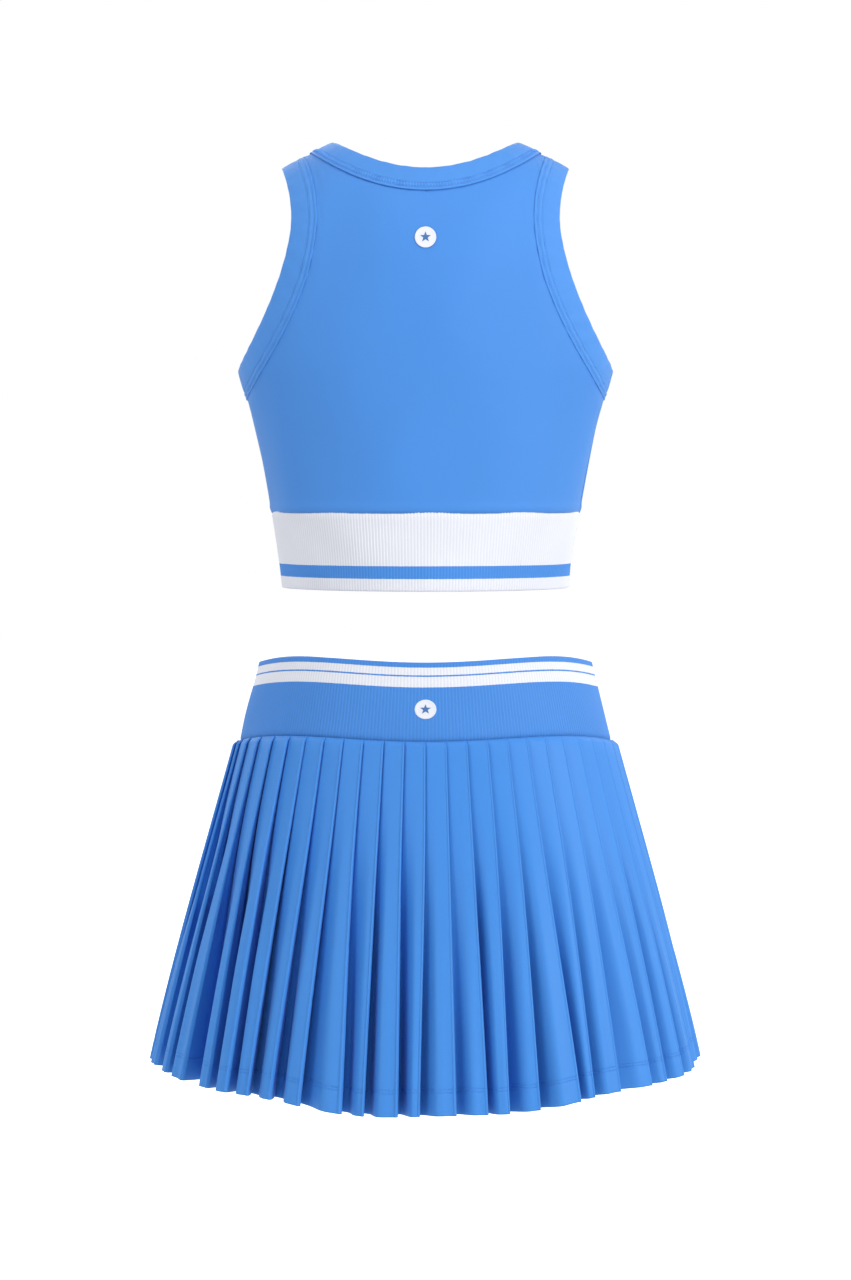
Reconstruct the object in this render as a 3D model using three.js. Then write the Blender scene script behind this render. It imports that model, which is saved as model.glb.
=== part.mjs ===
// A two-piece cheer uniform, standing as it does on an unseen wearer: a cropped racer-cut top, and a
// knife-pleated skirt with a rib-knit waistband and sewn-in shorts.
//
// Units are millimetres, +Z is up, the wearer faces -Y and the wearer's left is +X. The origin is the
// centre of the skirt's waist opening.
import * as THREE from "three";

// ---------------------------------------------------------------------------------------------------
// Driving dimensions
// ---------------------------------------------------------------------------------------------------
const SEAM_GAP = 0.6; // clearance between two pieces that are sewn together
const HINGE_GAP = 1.6; // room above a pleat section for it to swing
const APPLIED_GAP = 0.3; // clearance under a badge

const TOP = {
  hemHeight: 61.5, // bare midriff between the waist opening and the top's lower edge
  underbandHeight: 65,
  sideSeam: 95.5, // from the underband to the armhole band
  armholeHeight: 173.5, // from the underarm to the shoulder tip
  shoulderStart: 82, // above the underarm by this the torso begins to round over to the shoulder ridge
  shoulderHalfWidth: 123.5, // at the shoulder tip
  armholeHalfWidth: 112, // where the armhole is cut furthest in
  armholePinch: 0.7, // and how far up the armhole that is
  armholeSweep: 1.65, // a larger power sweeps in faster from the underarm
  armholeFlick: 2, // the same above the pinch, out to the shoulder tip
  frontScoop: 9, // how much further in the front of the armhole is cut
  neckHalfWidth: 79.5, // at the shoulder ridge
  backNeckDrop: 46, // from the top of the ridge to the neckband's upper edge
  frontNeckDrop: 92,
  backNeckCurve: 2,
  frontNeckCurve: 2.2, // a larger power makes a squarer neckline
  band: 26, // width of the armhole bands and the neckband
  bandAtShoulder: 22,
  cloth: 1.1,
  foldedBand: 1.9, // a band is two layers
};

// The torso under the top: half widths and half depths at heights above the waist opening.
const TORSO = {
  halfWidth: [
    [61, 123], [82, 125], [126, 132], [164, 139], [204, 148], [225, 154], [250, 161], [290, 163], [402, 160],
  ],
  backDepth: [[61, 86], [126, 88], [204, 92], [300, 97], [360, 95], [445, 90]],
  frontDepth: [[61, 89], [126, 97], [170, 112], [204, 119], [250, 112], [300, 101], [360, 94], [445, 90]],
  ridgeHalfWidth: 160,
  ridgeFall: 0.00246, // the ridge falls by this times the square of the distance from the middle
  riseBelow: 120, // height for one radian of lift below the shoulders
};

const SKIRT = {
  waistHalfWidth: 142.7,
  waistHalfDepth: 105,
  waistTilt: 0.045, // the waist edge rises this much per millimetre towards the back
  waistDip: 10, // and dips this much further at the middle of the front
  waistbandHeight: 70, // at the sides
  seamHalfWidth: 159,
  seamHalfDepth: 112,
  seamTilt: 0.113,
  band: 1.6,
  sections: 26,
  pleatsPerSection: 2,
  pleatLength: 291, // at the middle of the back
  sideShortening: 11, // the pleats are this much shorter at the sides
  swell: 3.5, // how far the skirt rounds out halfway down
  pleatStep: 3.6, // how far the pleats start outside the waistband's lower edge
  hemHalfWidth: 227.5,
  hemHalfDepth: 193,
  pleatCloth: 0.8,
};

// How one pleat stands, as shares of its own width at the seam and at the hem.
const PLEAT = {
  proud: [0.16, 0.23], // the outer fold over the next pleat
  fold: [0.17, 0.36], // the cloth folded back under the outer fold
  underlay: [0.22, 0.88], // the first pleat of a section reaches this far under the section before
};

const SHORTS = {
  cloth: 0.9,
  inset: 3.4, // the shorts hang this far inside the waistband
  rise: 186, // from the waistband to the crotch
  riseCurve: 4,
  inseam: 62,
  hipHalfWidth: 166,
  hipHalfDepth: 121,
  hipDrop: 90,
  legWidth: 142,
  legDepth: 172,
  gussetHalfWidth: 15,
  gussetStart: 0.74, // the gusset begins this far down the rise
};

const BADGE = { radius: 8.8, thickness: 0.5, belowNeck: 60.5, belowWaist: 42.7 };
const LABEL = { width: 34, height: 26, thickness: 0.5, wallGap: 2.4, belowWaist: 3 };
const COLOURS = { blue: 0x4f90e6, white: 0xf1f3f9, satin: 0xf6f6f4 };

// How many cells a grid of cloth has: round the body, across half a panel, down the pleats, round and down
// one leg of the shorts, along the gusset and round a badge.
const GRID = { round: 56, panel: 8, pleat: 5, leg: 20, legDown: 12, gusset: 12, badge: 24 };

// ---------------------------------------------------------------------------------------------------
// Helpers
// ---------------------------------------------------------------------------------------------------
const { lerp, clamp } = THREE.MathUtils;
const FULL_TURN = 2 * Math.PI;
const HALF_TURN = Math.PI;
const QUARTER_TURN = Math.PI / 2;

/** A smooth function through [place, value] pairs, held flat past its ends. */
function profile(pairs) {
  const slope = (i) => {
    const [before, after] = [pairs[Math.max(i - 1, 0)], pairs[Math.min(i + 1, pairs.length - 1)]];
    return (after[1] - before[1]) / (after[0] - before[0]);
  };
  return (place) => {
    const i = pairs.findIndex((pair) => pair[0] >= place);
    if (i === 0) return pairs[0][1];
    if (i < 0) return pairs[pairs.length - 1][1];
    const [[x0, y0], [x1, y1]] = [pairs[i - 1], pairs[i]];
    const t = (place - x0) / (x1 - x0);
    const ends = y0 * (1 + 2 * t) * (1 - t) ** 2 + y1 * t * t * (3 - 2 * t);
    return ends + (x1 - x0) * t * (1 - t) * (slope(i - 1) * (1 - t) - slope(i) * t);
  };
}

/** The unit normal of a surface(p, q), on the side that q turned onto p gives. */
function normalOf(surface, p, q) {
  const nudge = 1e-4;
  const alongP = surface(p + nudge, q).sub(surface(p - nudge, q));
  const alongQ = surface(p, q + nudge).sub(surface(p, q - nudge));
  return alongQ.cross(alongP).normalize();
}

/** A sheet of cloth, laid as grids of points over a surface and then given a thickness. */
class Sheet {
  constructor() {
    this.points = [];
    this.faces = [];
    this.known = new Map();
  }

  /** The number of a point, the same for points in the same place. */
  add(point) {
    const key = point.toArray().map((value) => Math.round(value * 1e3)).join();
    if (!this.known.has(key)) {
      this.known.set(key, this.points.length);
      this.points.push(point);
    }
    return this.known.get(key);
  }

  /** Lays a grid of at(u, v), both from 0 to 1. A flipped grid faces the other way. */
  lay(at, columns, rows, flipped = false) {
    const number = (c, r) => this.add(at(c / columns, r / rows));
    for (let c = 0; c < columns; c++) {
      for (let r = 0; r < rows; r++) {
        const [a, b, d, e] = [number(c, r), number(c + 1, r), number(c + 1, r + 1), number(c, r + 1)];
        for (const face of [[a, b, d], [a, d, e]]) {
          if (new Set(face).size < face.length) continue;
          this.faces.push(flipped ? face.reverse() : face);
        }
      }
    }
    return this;
  }

  /** Which way every point moves as the cloth thickens: its mean normal, longer on a fold. */
  normals() {
    const longest = 2;
    const sums = this.points.map(() => new THREE.Vector3());
    const angles = this.points.map(() => 0);
    for (const face of this.faces) {
      for (const i of [0, 1, 2]) {
        const [here, next, last] = [0, 1, 2].map((step) => this.points[face[(i + step) % 3]]);
        const [toNext, toLast] = [next.clone().sub(here), last.clone().sub(here)];
        const angle = toNext.angleTo(toLast);
        sums[face[i]].addScaledVector(toNext.cross(toLast).normalize(), angle);
        angles[face[i]] += angle;
      }
    }
    return sums.map((sum, i) => sum.clone().setLength(Math.min(angles[i] / sum.length(), longest)));
  }

  /** The closed solid of the sheet, half the thickness to each side. */
  solid(thickness) {
    const count = this.points.length;
    const normals = this.normals();
    const shifted = (side) => this.points.map((p, i) => p.clone().addScaledVector(normals[i], side));
    const moved = (side) => shifted(side).flatMap((p) => p.toArray());
    const corners = [...moved(thickness / 2), ...moved(-thickness / 2)];
    const triangles = [];
    const edges = new Set(this.faces.flatMap(([a, b, c]) => [`${a},${b}`, `${b},${c}`, `${c},${a}`]));
    for (const [a, b, c] of this.faces) {
      triangles.push(a, b, c, a + count, c + count, b + count);
      for (const [from, to] of [[a, b], [b, c], [c, a]]) {
        if (edges.has(`${to},${from}`)) continue;
        triangles.push(to, from, from + count, to, from + count, to + count);
      }
    }
    return new THREE.BufferGeometry()
      .setAttribute("position", new THREE.Float32BufferAttribute(corners, 3))
      .setIndex(triangles);
  }
}

const uniform = new THREE.Group();
uniform.name = "cheer_uniform";

/** Adds one named piece in its own material. */
function addPiece(name, geometry, colour, roughness = 0.8) {
  geometry.computeVertexNormals();
  const material = new THREE.MeshStandardMaterial({ color: colour, roughness, metalness: 0 });
  const mesh = new THREE.Mesh(geometry, material);
  mesh.name = name;
  uniform.add(mesh);
  return mesh;
}

// ---------------------------------------------------------------------------------------------------
// The torso
//
// A place on it is [theta, lift]. Theta runs round the body from 0 at the spine to a quarter turn at the
// wearer's left side. Lift runs up the back, is a quarter turn on the shoulder ridge, and runs on down the
// front, where it is half a turn less the lift of the same height at the back.
// ---------------------------------------------------------------------------------------------------
const underbandTop = TOP.hemHeight + TOP.underbandHeight;
const underarm = underbandTop + TOP.sideSeam + TOP.band;
const shoulderStart = underarm + TOP.shoulderStart;
const shoulderTip = underarm + TOP.armholeHeight;
const ridgeTop = shoulderTip + TORSO.ridgeFall * TOP.shoulderHalfWidth ** 2;
const halfWidth = profile(TORSO.halfWidth);
const backDepth = profile(TORSO.backDepth);
const frontDepth = profile(TORSO.frontDepth);

const ridgeHeight = (x) => ridgeTop - TORSO.ridgeFall * x * x;
const shoulderRise = (theta) => ridgeHeight(TORSO.ridgeHalfWidth * Math.sin(theta)) - shoulderStart;

/** The point of the torso at a place. */
function torso(theta, lift) {
  const onFront = lift > QUARTER_TURN;
  const climb = onFront ? HALF_TURN - lift : lift;
  const z = shoulderStart + (climb > 0 ? shoulderRise(theta) * Math.sin(climb) : TORSO.riseBelow * climb);
  const depth = onFront ? -frontDepth(z) : backDepth(z);
  const taper = climb > 0 ? Math.cos(climb) : 1;
  return new THREE.Vector3(halfWidth(z) * Math.sin(theta), depth * Math.cos(theta) * taper, z);
}

const inFront = ([theta, lift]) => [theta, HALF_TURN - lift];
const mirrored = ([theta, lift]) => [-theta, lift];

/** The place at the back of the body at an angle round it and a height. */
function placeRound(theta, z) {
  const above = z - shoulderStart;
  return [theta, above > 0 ? Math.asin(Math.min(above / shoulderRise(theta), 1)) : above / TORSO.riseBelow];
}

/** The place at the back of the body at a distance from its middle and a height. */
const placeAt = (x, z) => placeRound(Math.asin(clamp(x / halfWidth(z), -1, 1)), z);

/** The place a distance over the torso from another, in a direction square to its normal. */
function walk([theta, lift], direction, distance) {
  const steps = 3;
  const nudge = 1e-4;
  for (let i = 0; i < steps; i++) {
    const round = torso(theta + nudge, lift).sub(torso(theta - nudge, lift)).divideScalar(2 * nudge);
    const up = torso(theta, lift + nudge).sub(torso(theta, lift - nudge)).divideScalar(2 * nudge);
    const [rr, ru, uu] = [round.dot(round), round.dot(up), up.dot(up)];
    const scale = distance / steps / (rr * uu - ru * ru);
    const [goRound, goUp] = [round.dot(direction), up.dot(direction)];
    theta += (uu * goRound - ru * goUp) * scale;
    lift += (rr * goUp - ru * goRound) * scale;
  }
  return [theta, lift];
}

/** The place a distance in from a cut edge of the top. */
function inside(edge, share, distance) {
  const nudge = 1e-3;
  const along = torso(...edge.at(share + nudge)).sub(torso(...edge.at(share - nudge)));
  const across = along.cross(normalOf(torso, ...edge.at(share))).normalize();
  return walk(edge.at(share), across, edge.clothSide * distance);
}

/** How wide a band is where it passes a place: narrower towards the shoulder ridge. */
function bandWidth([, lift]) {
  const fromRidge = Math.min(Math.abs(lift - QUARTER_TURN) / QUARTER_TURN, 1);
  return lerp(TOP.bandAtShoulder, TOP.band, fromRidge ** 2);
}

/** The left armhole's cut edge. Share 0 is the underarm, 0.5 the shoulder tip, and the back comes first. */
function armholeAt(share) {
  const turn = FULL_TURN * THREE.MathUtils.euclideanModulo(share, 1);
  const front = turn > HALF_TURN;
  const up = (1 - Math.cos(turn)) / 2;
  const narrow = TOP.armholeHalfWidth - (front ? TOP.frontScoop : 0) * Math.sin(up * HALF_TURN) ** 2;
  const belowPinch = clamp(1 - up / TOP.armholePinch, 0, 1) ** TOP.armholeSweep;
  const abovePinch = clamp((up - TOP.armholePinch) / (1 - TOP.armholePinch), 0, 1) ** TOP.armholeFlick;
  const low = (halfWidth(underarm) - narrow) * belowPinch;
  const high = (TOP.shoulderHalfWidth - narrow) * abovePinch;
  const x = narrow + low + high;
  const place = placeAt(x, underarm + up * TOP.armholeHeight);
  return front ? inFront(place) : place;
}

/** The neck's cut edge. Share 0 is the spine, 0.25 the left shoulder ridge, 0.5 the throat. */
function neckAt(share) {
  const turn = FULL_TURN * share;
  const front = Math.cos(turn) < 0;
  const drop = front ? TOP.frontNeckDrop : TOP.backNeckDrop;
  const power = front ? TOP.frontNeckCurve : TOP.backNeckCurve;
  const x = TOP.neckHalfWidth * Math.sin(turn);
  const low = ridgeTop - drop;
  const z = low + (ridgeHeight(TOP.neckHalfWidth) - low) * Math.abs(Math.sin(turn)) ** power;
  const place = placeAt(x, z);
  return front ? inFront(place) : place;
}

// The cloth lies on the side of an edge that its direction turned onto the normal gives, or on the other.
const armholeEdge = { at: armholeAt, clothSide: 1 };
const neckEdge = { at: neckAt, clothSide: -1 };

// ---------------------------------------------------------------------------------------------------
// The top
// ---------------------------------------------------------------------------------------------------
/** The surface of a band, v running from 0 at its cut edge to 1. */
const overBand = (edge) => (u, v) => torso(...inside(edge, u, v * bandWidth(edge.at(u))));

// Rows of a body panel: beside the side seam, then up the armhole. The same rows reach the middle of the
// panel level with the side seam, then above it, then along the neckline.
const PANEL_ROWS = { side: 8, armhole: 16, middle: 6, neck: 10 };
const panelRows = PANEL_ROWS.side + PANEL_ROWS.armhole;

/** A smooth line of places between two ends, each with its place and the line's way out of it. */
function rowBetween(start, end, u) {
  const reach = torso(...start.place).distanceTo(torso(...end.place));
  const coordinate = (i) => {
    const leaving = reach * (start.into[i] * u * (1 - u) ** 2 + end.into[i] * u * u * (1 - u));
    return start.place[i] * (1 - u) ** 2 * (1 + 2 * u) + end.place[i] * u * u * (3 - 2 * u) + leaving;
  };
  return [coordinate(0), coordinate(1)];
}

/** Half of a body panel: u runs from its middle and neckline across to its side seam and armhole. */
function panelHalf(front) {
  const sideSeamAngle = SEAM_GAP / 2 / TORSO.backDepth[0][1];
  const shoulderSeamAngle = 2 * sideSeamAngle;
  const level = 1 / TORSO.ridgeHalfWidth; // the turn of one millimetre round the body
  const folded = (place) => (place[1] > QUARTER_TURN ? inFront(place) : place);
  // Where the cloth ends beside a band, and a way into it that is half square to the band and half level.
  const besideBand = (edge, share, levelWay) => {
    const reach = bandWidth(edge.at(share)) + SEAM_GAP;
    const [place, deeper] = [reach, reach + 1].map((distance) => folded(inside(edge, share, distance)));
    return { place, into: [(deeper[0] - place[0] + levelWay) / 2, (deeper[1] - place[1]) / 2] };
  };
  const armholeFrom = (t) => besideBand(armholeEdge, front ? 1 - t / 2 : t / 2, -level);
  const neckFrom = (t) => besideBand(neckEdge, front ? 0.5 - t / 4 : t / 4, level);
  const bottom = placeRound(0, underbandTop + SEAM_GAP);
  const [armholeFoot, neckFoot] = [armholeFrom(0), neckFrom(0)];
  // A share of the way up to the foot of a band, turning level cloth gradually to that band's way in.
  const climb = (theta, from, foot, levelWay, t) => ({
    place: [theta, lerp(from[1], foot.place[1], t)],
    into: [lerp(levelWay, foot.into[0], t), lerp(0, foot.into[1], t)],
  });
  const side = (row) => {
    const pastSide = row - PANEL_ROWS.side;
    if (pastSide >= 0) return armholeFrom(pastSide / PANEL_ROWS.armhole);
    return climb(QUARTER_TURN, bottom, armholeFoot, -level, row / PANEL_ROWS.side);
  };
  const middle = (row) => {
    const pastSide = row - PANEL_ROWS.side;
    const pastMiddle = pastSide - PANEL_ROWS.middle;
    if (pastMiddle >= 0) return neckFrom(pastMiddle / PANEL_ROWS.neck);
    if (pastSide > 0) return climb(0, armholeFoot.place, neckFoot, level, pastSide / PANEL_ROWS.middle);
    return { place: [0, lerp(bottom[1], armholeFoot.place[1], row / PANEL_ROWS.side)], into: [level, 0] };
  };
  return (u, v) => {
    const row = v * panelRows;
    const [theta, lift] = rowBetween(middle(row), side(row), u);
    const around = Math.min(theta, QUARTER_TURN - sideSeamAngle);
    const place = [around, Math.min(lift, QUARTER_TURN - shoulderSeamAngle)];
    return front ? inFront(place) : place;
  };
}

function buildPanel(name, front) {
  const at = panelHalf(front);
  const sheet = new Sheet();
  sheet.lay((u, v) => torso(...at(u, v)), GRID.panel, panelRows, !front);
  sheet.lay((u, v) => torso(...mirrored(at(u, v))), GRID.panel, panelRows, front);
  addPiece(name, sheet.solid(TOP.cloth), COLOURS.blue);
}

function buildTop() {
  buildPanel("top_back_panel", false);
  buildPanel("top_front_panel", true);

  const neckband = new Sheet().lay(overBand(neckEdge), 4 * PANEL_ROWS.neck, 2);
  addPiece("neckband", neckband.solid(TOP.foldedBand), COLOURS.blue);

  const overLeftArmhole = overBand(armholeEdge);
  const overRightArmhole = (u, v) => overLeftArmhole(u, v).multiply(new THREE.Vector3(-1, 1, 1));
  const left = new Sheet().lay(overLeftArmhole, 2 * PANEL_ROWS.armhole, 2);
  const right = new Sheet().lay(overRightArmhole, 2 * PANEL_ROWS.armhole, 2, true);
  addPiece("armhole_band_left", left.solid(TOP.foldedBand), COLOURS.blue);
  addPiece("armhole_band_right", right.solid(TOP.foldedBand), COLOURS.blue);

  const underband = new Sheet().lay(
    (u, v) => {
      const turn = u * FULL_TURN;
      const front = Math.cos(turn) < 0;
      const place = placeRound(front ? HALF_TURN - turn : turn, lerp(TOP.hemHeight, underbandTop, v));
      return torso(...(front ? inFront(place) : place));
    },
    GRID.round,
    3,
  );
  addPiece("underband", underband.solid(TOP.foldedBand), COLOURS.white);
}

// ---------------------------------------------------------------------------------------------------
// The skirt
//
// A place on it is a turn, counter-clockwise from the back as seen from above, and a share of the way down.
// ---------------------------------------------------------------------------------------------------
function onEllipse(width, depth, turn) {
  return new THREE.Vector3(-width * Math.sin(turn), depth * Math.cos(turn), 0);
}

/** The waistband's surface, from the waist opening down to the pleat seam. */
function waistband(turn, down) {
  const width = lerp(SKIRT.waistHalfWidth, SKIRT.seamHalfWidth, down);
  const depth = lerp(SKIRT.waistHalfDepth, SKIRT.seamHalfDepth, down);
  const point = onEllipse(width, depth, turn);
  const top = SKIRT.waistTilt * point.y - SKIRT.waistDip * Math.max(-Math.cos(turn), 0) ** 2;
  const bottom = SKIRT.seamTilt * point.y - SKIRT.waistbandHeight;
  return point.setZ(lerp(top, bottom, down));
}

/** The level way straight out of the skirt's seam. */
const outOfSkirt = (turn) => onEllipse(1 / SKIRT.seamHalfWidth, 1 / SKIRT.seamHalfDepth, turn).normalize();

/** The inner face of the pleated cloth, from the seam down to the hem. */
function pleatGround(turn, down) {
  const seam = onEllipse(SKIRT.seamHalfWidth + SKIRT.pleatStep, SKIRT.seamHalfDepth + SKIRT.pleatStep, turn);
  const hem = onEllipse(SKIRT.hemHalfWidth, SKIRT.hemHalfDepth, turn);
  const length = SKIRT.pleatLength - SKIRT.sideShortening * Math.sin(turn) ** 2;
  const fall = Math.sqrt(length ** 2 - hem.distanceToSquared(seam));
  seam.z = waistband(turn, 1).z - HINGE_GAP;
  hem.z = seam.z - fall;
  return seam.lerp(hem, down).addScaledVector(outOfSkirt(turn), SKIRT.swell * Math.sin(down * HALF_TURN));
}

const pleatCount = SKIRT.sections * SKIRT.pleatsPerSection;
const seamRing = new THREE.EllipseCurve(0, 0, SKIRT.seamHalfDepth, SKIRT.seamHalfWidth);

/** The turn at which a number of pleats, evenly spaced along the seam, has been passed. */
function turnAtPleat(pleat) {
  const turns = Math.floor(pleat / pleatCount);
  const share = pleat / pleatCount - turns;
  return FULL_TURN * (turns + seamRing.getUtoTmapping(share));
}

/** One corner of a pleat, so many pleat widths proud of the ground. */
function pleatCorner(pleat, proud, down) {
  const turn = turnAtPleat(pleat);
  const ground = pleatGround(turn, down);
  const width = ground.distanceTo(pleatGround(turnAtPleat(pleat - 1), down));
  return ground.addScaledVector(outOfSkirt(turn), proud * width);
}

/** The line across one section of pleats at a share of the way down, as corners joined by flat cloth. */
function sectionLine(first, down) {
  const proud = lerp(...PLEAT.proud, down);
  const fold = lerp(...PLEAT.fold, down);
  const underlay = lerp(...PLEAT.underlay, down);
  const corners = [];
  for (let pleat = 0; pleat < SKIRT.pleatsPerSection; pleat++) {
    corners.push(pleatCorner(first + pleat - (pleat === 0 ? underlay : fold), 0, down));
    corners.push(pleatCorner(first + pleat + 1, proud, down));
  }
  return corners;
}

function buildPleatSections() {
  for (let section = 0; section < SKIRT.sections; section++) {
    const first = section * SKIRT.pleatsPerSection;
    const spans = 2 * SKIRT.pleatsPerSection - 1;
    const at = (u, v) => {
      const line = sectionLine(first, v);
      const span = Math.min(Math.floor(u * spans), spans - 1);
      return line[span].clone().lerp(line[span + 1], u * spans - span);
    };
    const sheet = new Sheet().lay(at, spans * 2, GRID.pleat, true);
    const number = String(section + 1).padStart(2, "0");
    addPiece(`pleat_section_${number}`, sheet.solid(SKIRT.pleatCloth), COLOURS.blue);
  }
}

/** The shorts' left half. Round runs from 0 at the middle of the front to 1 at the middle of the back. */
function shorts(round, down) {
  const length = SHORTS.rise + SHORTS.inseam;
  const drop = down * length;
  const closing = Math.min(drop / SHORTS.rise, 1) ** SHORTS.riseCurve;
  const hip = THREE.MathUtils.smoothstep(drop, 0, SHORTS.hipDrop);
  const hipWidth = lerp(SKIRT.seamHalfWidth - SHORTS.inset, SHORTS.hipHalfWidth, hip);
  const hipDepth = lerp(SKIRT.seamHalfDepth - SHORTS.inset, SHORTS.hipHalfDepth, hip);
  const bodyTurn = round * HALF_TURN;
  const body = new THREE.Vector3(hipWidth * Math.sin(bodyTurn), -hipDepth * Math.cos(bodyTurn), 0);
  const inner = SHORTS.gussetHalfWidth * closing;
  const outer = SHORTS.gussetHalfWidth + SHORTS.legWidth;
  const turn = round * FULL_TURN;
  const leg = new THREE.Vector3(
    (inner + outer) / 2 - ((outer - inner) / 2) * Math.cos(turn),
    (-SHORTS.legDepth / 2) * Math.sin(turn),
    0,
  );
  const top = SKIRT.seamTilt * body.y - SKIRT.waistbandHeight;
  const point = body.lerp(leg, closing);
  const level = lerp(top, -SKIRT.waistbandHeight, Math.min(drop / SHORTS.rise, 1));
  return point.setZ(level - SEAM_GAP - drop);
}

function buildShorts() {
  const seamShare = SEAM_GAP / 2 / SHORTS.legDepth;
  const half = (round, down) => shorts(lerp(seamShare, 1 - seamShare, round), down);
  const mirror = new THREE.Vector3(-1, 1, 1);
  const left = new Sheet().lay(half, GRID.leg, GRID.legDown, true);
  const right = new Sheet().lay((u, v) => half(u, v).multiply(mirror), GRID.leg, GRID.legDown);
  addPiece("shorts_left_panel", left.solid(SHORTS.cloth), COLOURS.blue);
  addPiece("shorts_right_panel", right.solid(SHORTS.cloth), COLOURS.blue);

  const crotch = SHORTS.rise / (SHORTS.rise + SHORTS.inseam);
  const edgeAt = (v) => {
    const behind = v > 0.5;
    const down = crotch * lerp(SHORTS.gussetStart, 1, 1 - Math.abs(2 * v - 1));
    return shorts(behind ? 1 : 0, down);
  };
  const gusset = new Sheet().lay(
    (u, v) => {
      const edge = edgeAt(v);
      edge.x = Math.max(edge.x - SEAM_GAP, SEAM_GAP) * (2 * u - 1);
      return edge;
    },
    2,
    GRID.gusset,
  );
  addPiece("shorts_gusset", gusset.solid(SHORTS.cloth), COLOURS.blue);
}

function buildWaistband() {
  const gap = SEAM_GAP / SKIRT.waistbandHeight;
  const band = new Sheet().lay((u, v) => waistband(u * FULL_TURN, v * (1 - gap)), GRID.round, 4, true);
  addPiece("waistband", band.solid(SKIRT.band), COLOURS.blue);
}

// ---------------------------------------------------------------------------------------------------
// Badges and labels
// ---------------------------------------------------------------------------------------------------
/** A round badge on a surface, whose points are given by distances across and up from its middle. */
function buildBadge(name, pointAt, normal, standOff) {
  const disc = (u, v) => {
    const turn = u * FULL_TURN;
    const reach = BADGE.radius * v;
    return pointAt(reach * Math.cos(turn), reach * Math.sin(turn)).addScaledVector(normal, standOff);
  };
  addPiece(name, new Sheet().lay(disc, GRID.badge, 2, true).solid(BADGE.thickness), COLOURS.white, 0.5);
}

function buildBadges() {
  const standOff = (cloth) => cloth / 2 + APPLIED_GAP + BADGE.thickness / 2;
  const height = ridgeTop - TOP.backNeckDrop - BADGE.belowNeck;
  const onBack = (x, up) => torso(...placeAt(x, height + up));
  const backNormal = normalOf(torso, ...placeAt(0, height));
  buildBadge("top_badge", onBack, backNormal, standOff(TOP.cloth));

  const share = BADGE.belowWaist / SKIRT.waistbandHeight;
  const perTurn = lerp(SKIRT.waistHalfWidth, SKIRT.seamHalfWidth, share);
  const onWaist = (x, up) => waistband(-x / perTurn, share - up / SKIRT.waistbandHeight);
  const waistNormal = normalOf(waistband, 0, share);
  buildBadge("skirt_badge", onWaist, waistNormal, standOff(SKIRT.band));
}

/** A blank woven label that hangs from its top edge against the inside of the back. */
function buildLabel(name, wall) {
  const { width, height, thickness } = LABEL;
  const mesh = addPiece(name, new THREE.BoxGeometry(width, thickness, height), COLOURS.satin, 0.35);
  mesh.position.set(0, wall.y - LABEL.wallGap, wall.z - height / 2);
}

function buildLabels() {
  const neckFoot = torso(...inside(neckEdge, 0, TOP.band));
  buildLabel("neck_label", neckFoot);
  buildLabel("waist_label", waistband(0, 0).sub(new THREE.Vector3(0, 0, LABEL.belowWaist)));
}

buildTop();
buildWaistband();
buildPleatSections();
buildShorts();
buildBadges();
buildLabels();

export default uniform;
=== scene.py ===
"""A two-piece cheer uniform: a cropped racer-cut top and a knife-pleated skirt with sewn-in shorts.

Every length below is in millimetres unless its name says otherwise. +Z is up, the wearer faces -Y, the
wearer's left is +X, and the origin is the centre of the skirt's waist opening. Each garment piece is a
class: its sizes are fields, and its methods make the cloth, the stitches and the material.
"""

from __future__ import annotations

import logging
import math
from collections.abc import Callable, Sequence
from dataclasses import dataclass, field
from enum import Enum

import bmesh
import bpy
import numpy as np
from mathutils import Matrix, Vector

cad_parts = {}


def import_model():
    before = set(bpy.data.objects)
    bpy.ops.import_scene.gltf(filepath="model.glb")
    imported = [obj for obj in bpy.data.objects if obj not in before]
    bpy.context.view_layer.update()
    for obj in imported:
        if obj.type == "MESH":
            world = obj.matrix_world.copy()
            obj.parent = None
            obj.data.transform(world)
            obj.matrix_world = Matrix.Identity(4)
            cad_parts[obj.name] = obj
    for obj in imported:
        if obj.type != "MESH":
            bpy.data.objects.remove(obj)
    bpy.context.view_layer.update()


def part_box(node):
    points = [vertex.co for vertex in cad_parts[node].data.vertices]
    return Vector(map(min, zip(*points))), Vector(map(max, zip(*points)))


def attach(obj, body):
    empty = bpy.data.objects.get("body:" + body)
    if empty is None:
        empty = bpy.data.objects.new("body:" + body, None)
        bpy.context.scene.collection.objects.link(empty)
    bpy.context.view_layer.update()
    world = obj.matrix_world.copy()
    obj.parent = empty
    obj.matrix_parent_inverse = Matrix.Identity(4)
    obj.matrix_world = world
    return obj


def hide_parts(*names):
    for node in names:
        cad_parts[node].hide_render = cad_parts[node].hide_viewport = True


log = logging.getLogger("cheer_uniform")

MM = 0.001
FULL_TURN = 2 * math.pi
HALF_TURN = math.pi
QUARTER_TURN = math.pi / 2

LEVEL = np.array([1, 1, 0])  # keeps the level part of a vector

Array = np.ndarray
Socket = bpy.types.NodeSocket
Surface = Callable[[Array, Array], Array]


# ----------------------------------------------------------------------------------------------------
# Small mathematics
# ----------------------------------------------------------------------------------------------------
def smooth(x: Array | float, low: float = 0.0, high: float = 1.0) -> Array:
    """Rises smoothly from 0 to 1 as x goes from low to high."""
    t = np.clip((np.asarray(x, float) - low) / (high - low), 0, 1)
    return t * t * (3 - 2 * t)


def mix(a: Array | float, b: Array | float, t: Array | float) -> Array:
    """The value a share t of the way from a to b."""
    return np.asarray(a) + (np.asarray(b) - np.asarray(a)) * np.asarray(t)


def unit(vectors: Array) -> Array:
    """The vectors at length 1."""
    return vectors / np.linalg.norm(vectors, axis=-1, keepdims=True)


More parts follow.
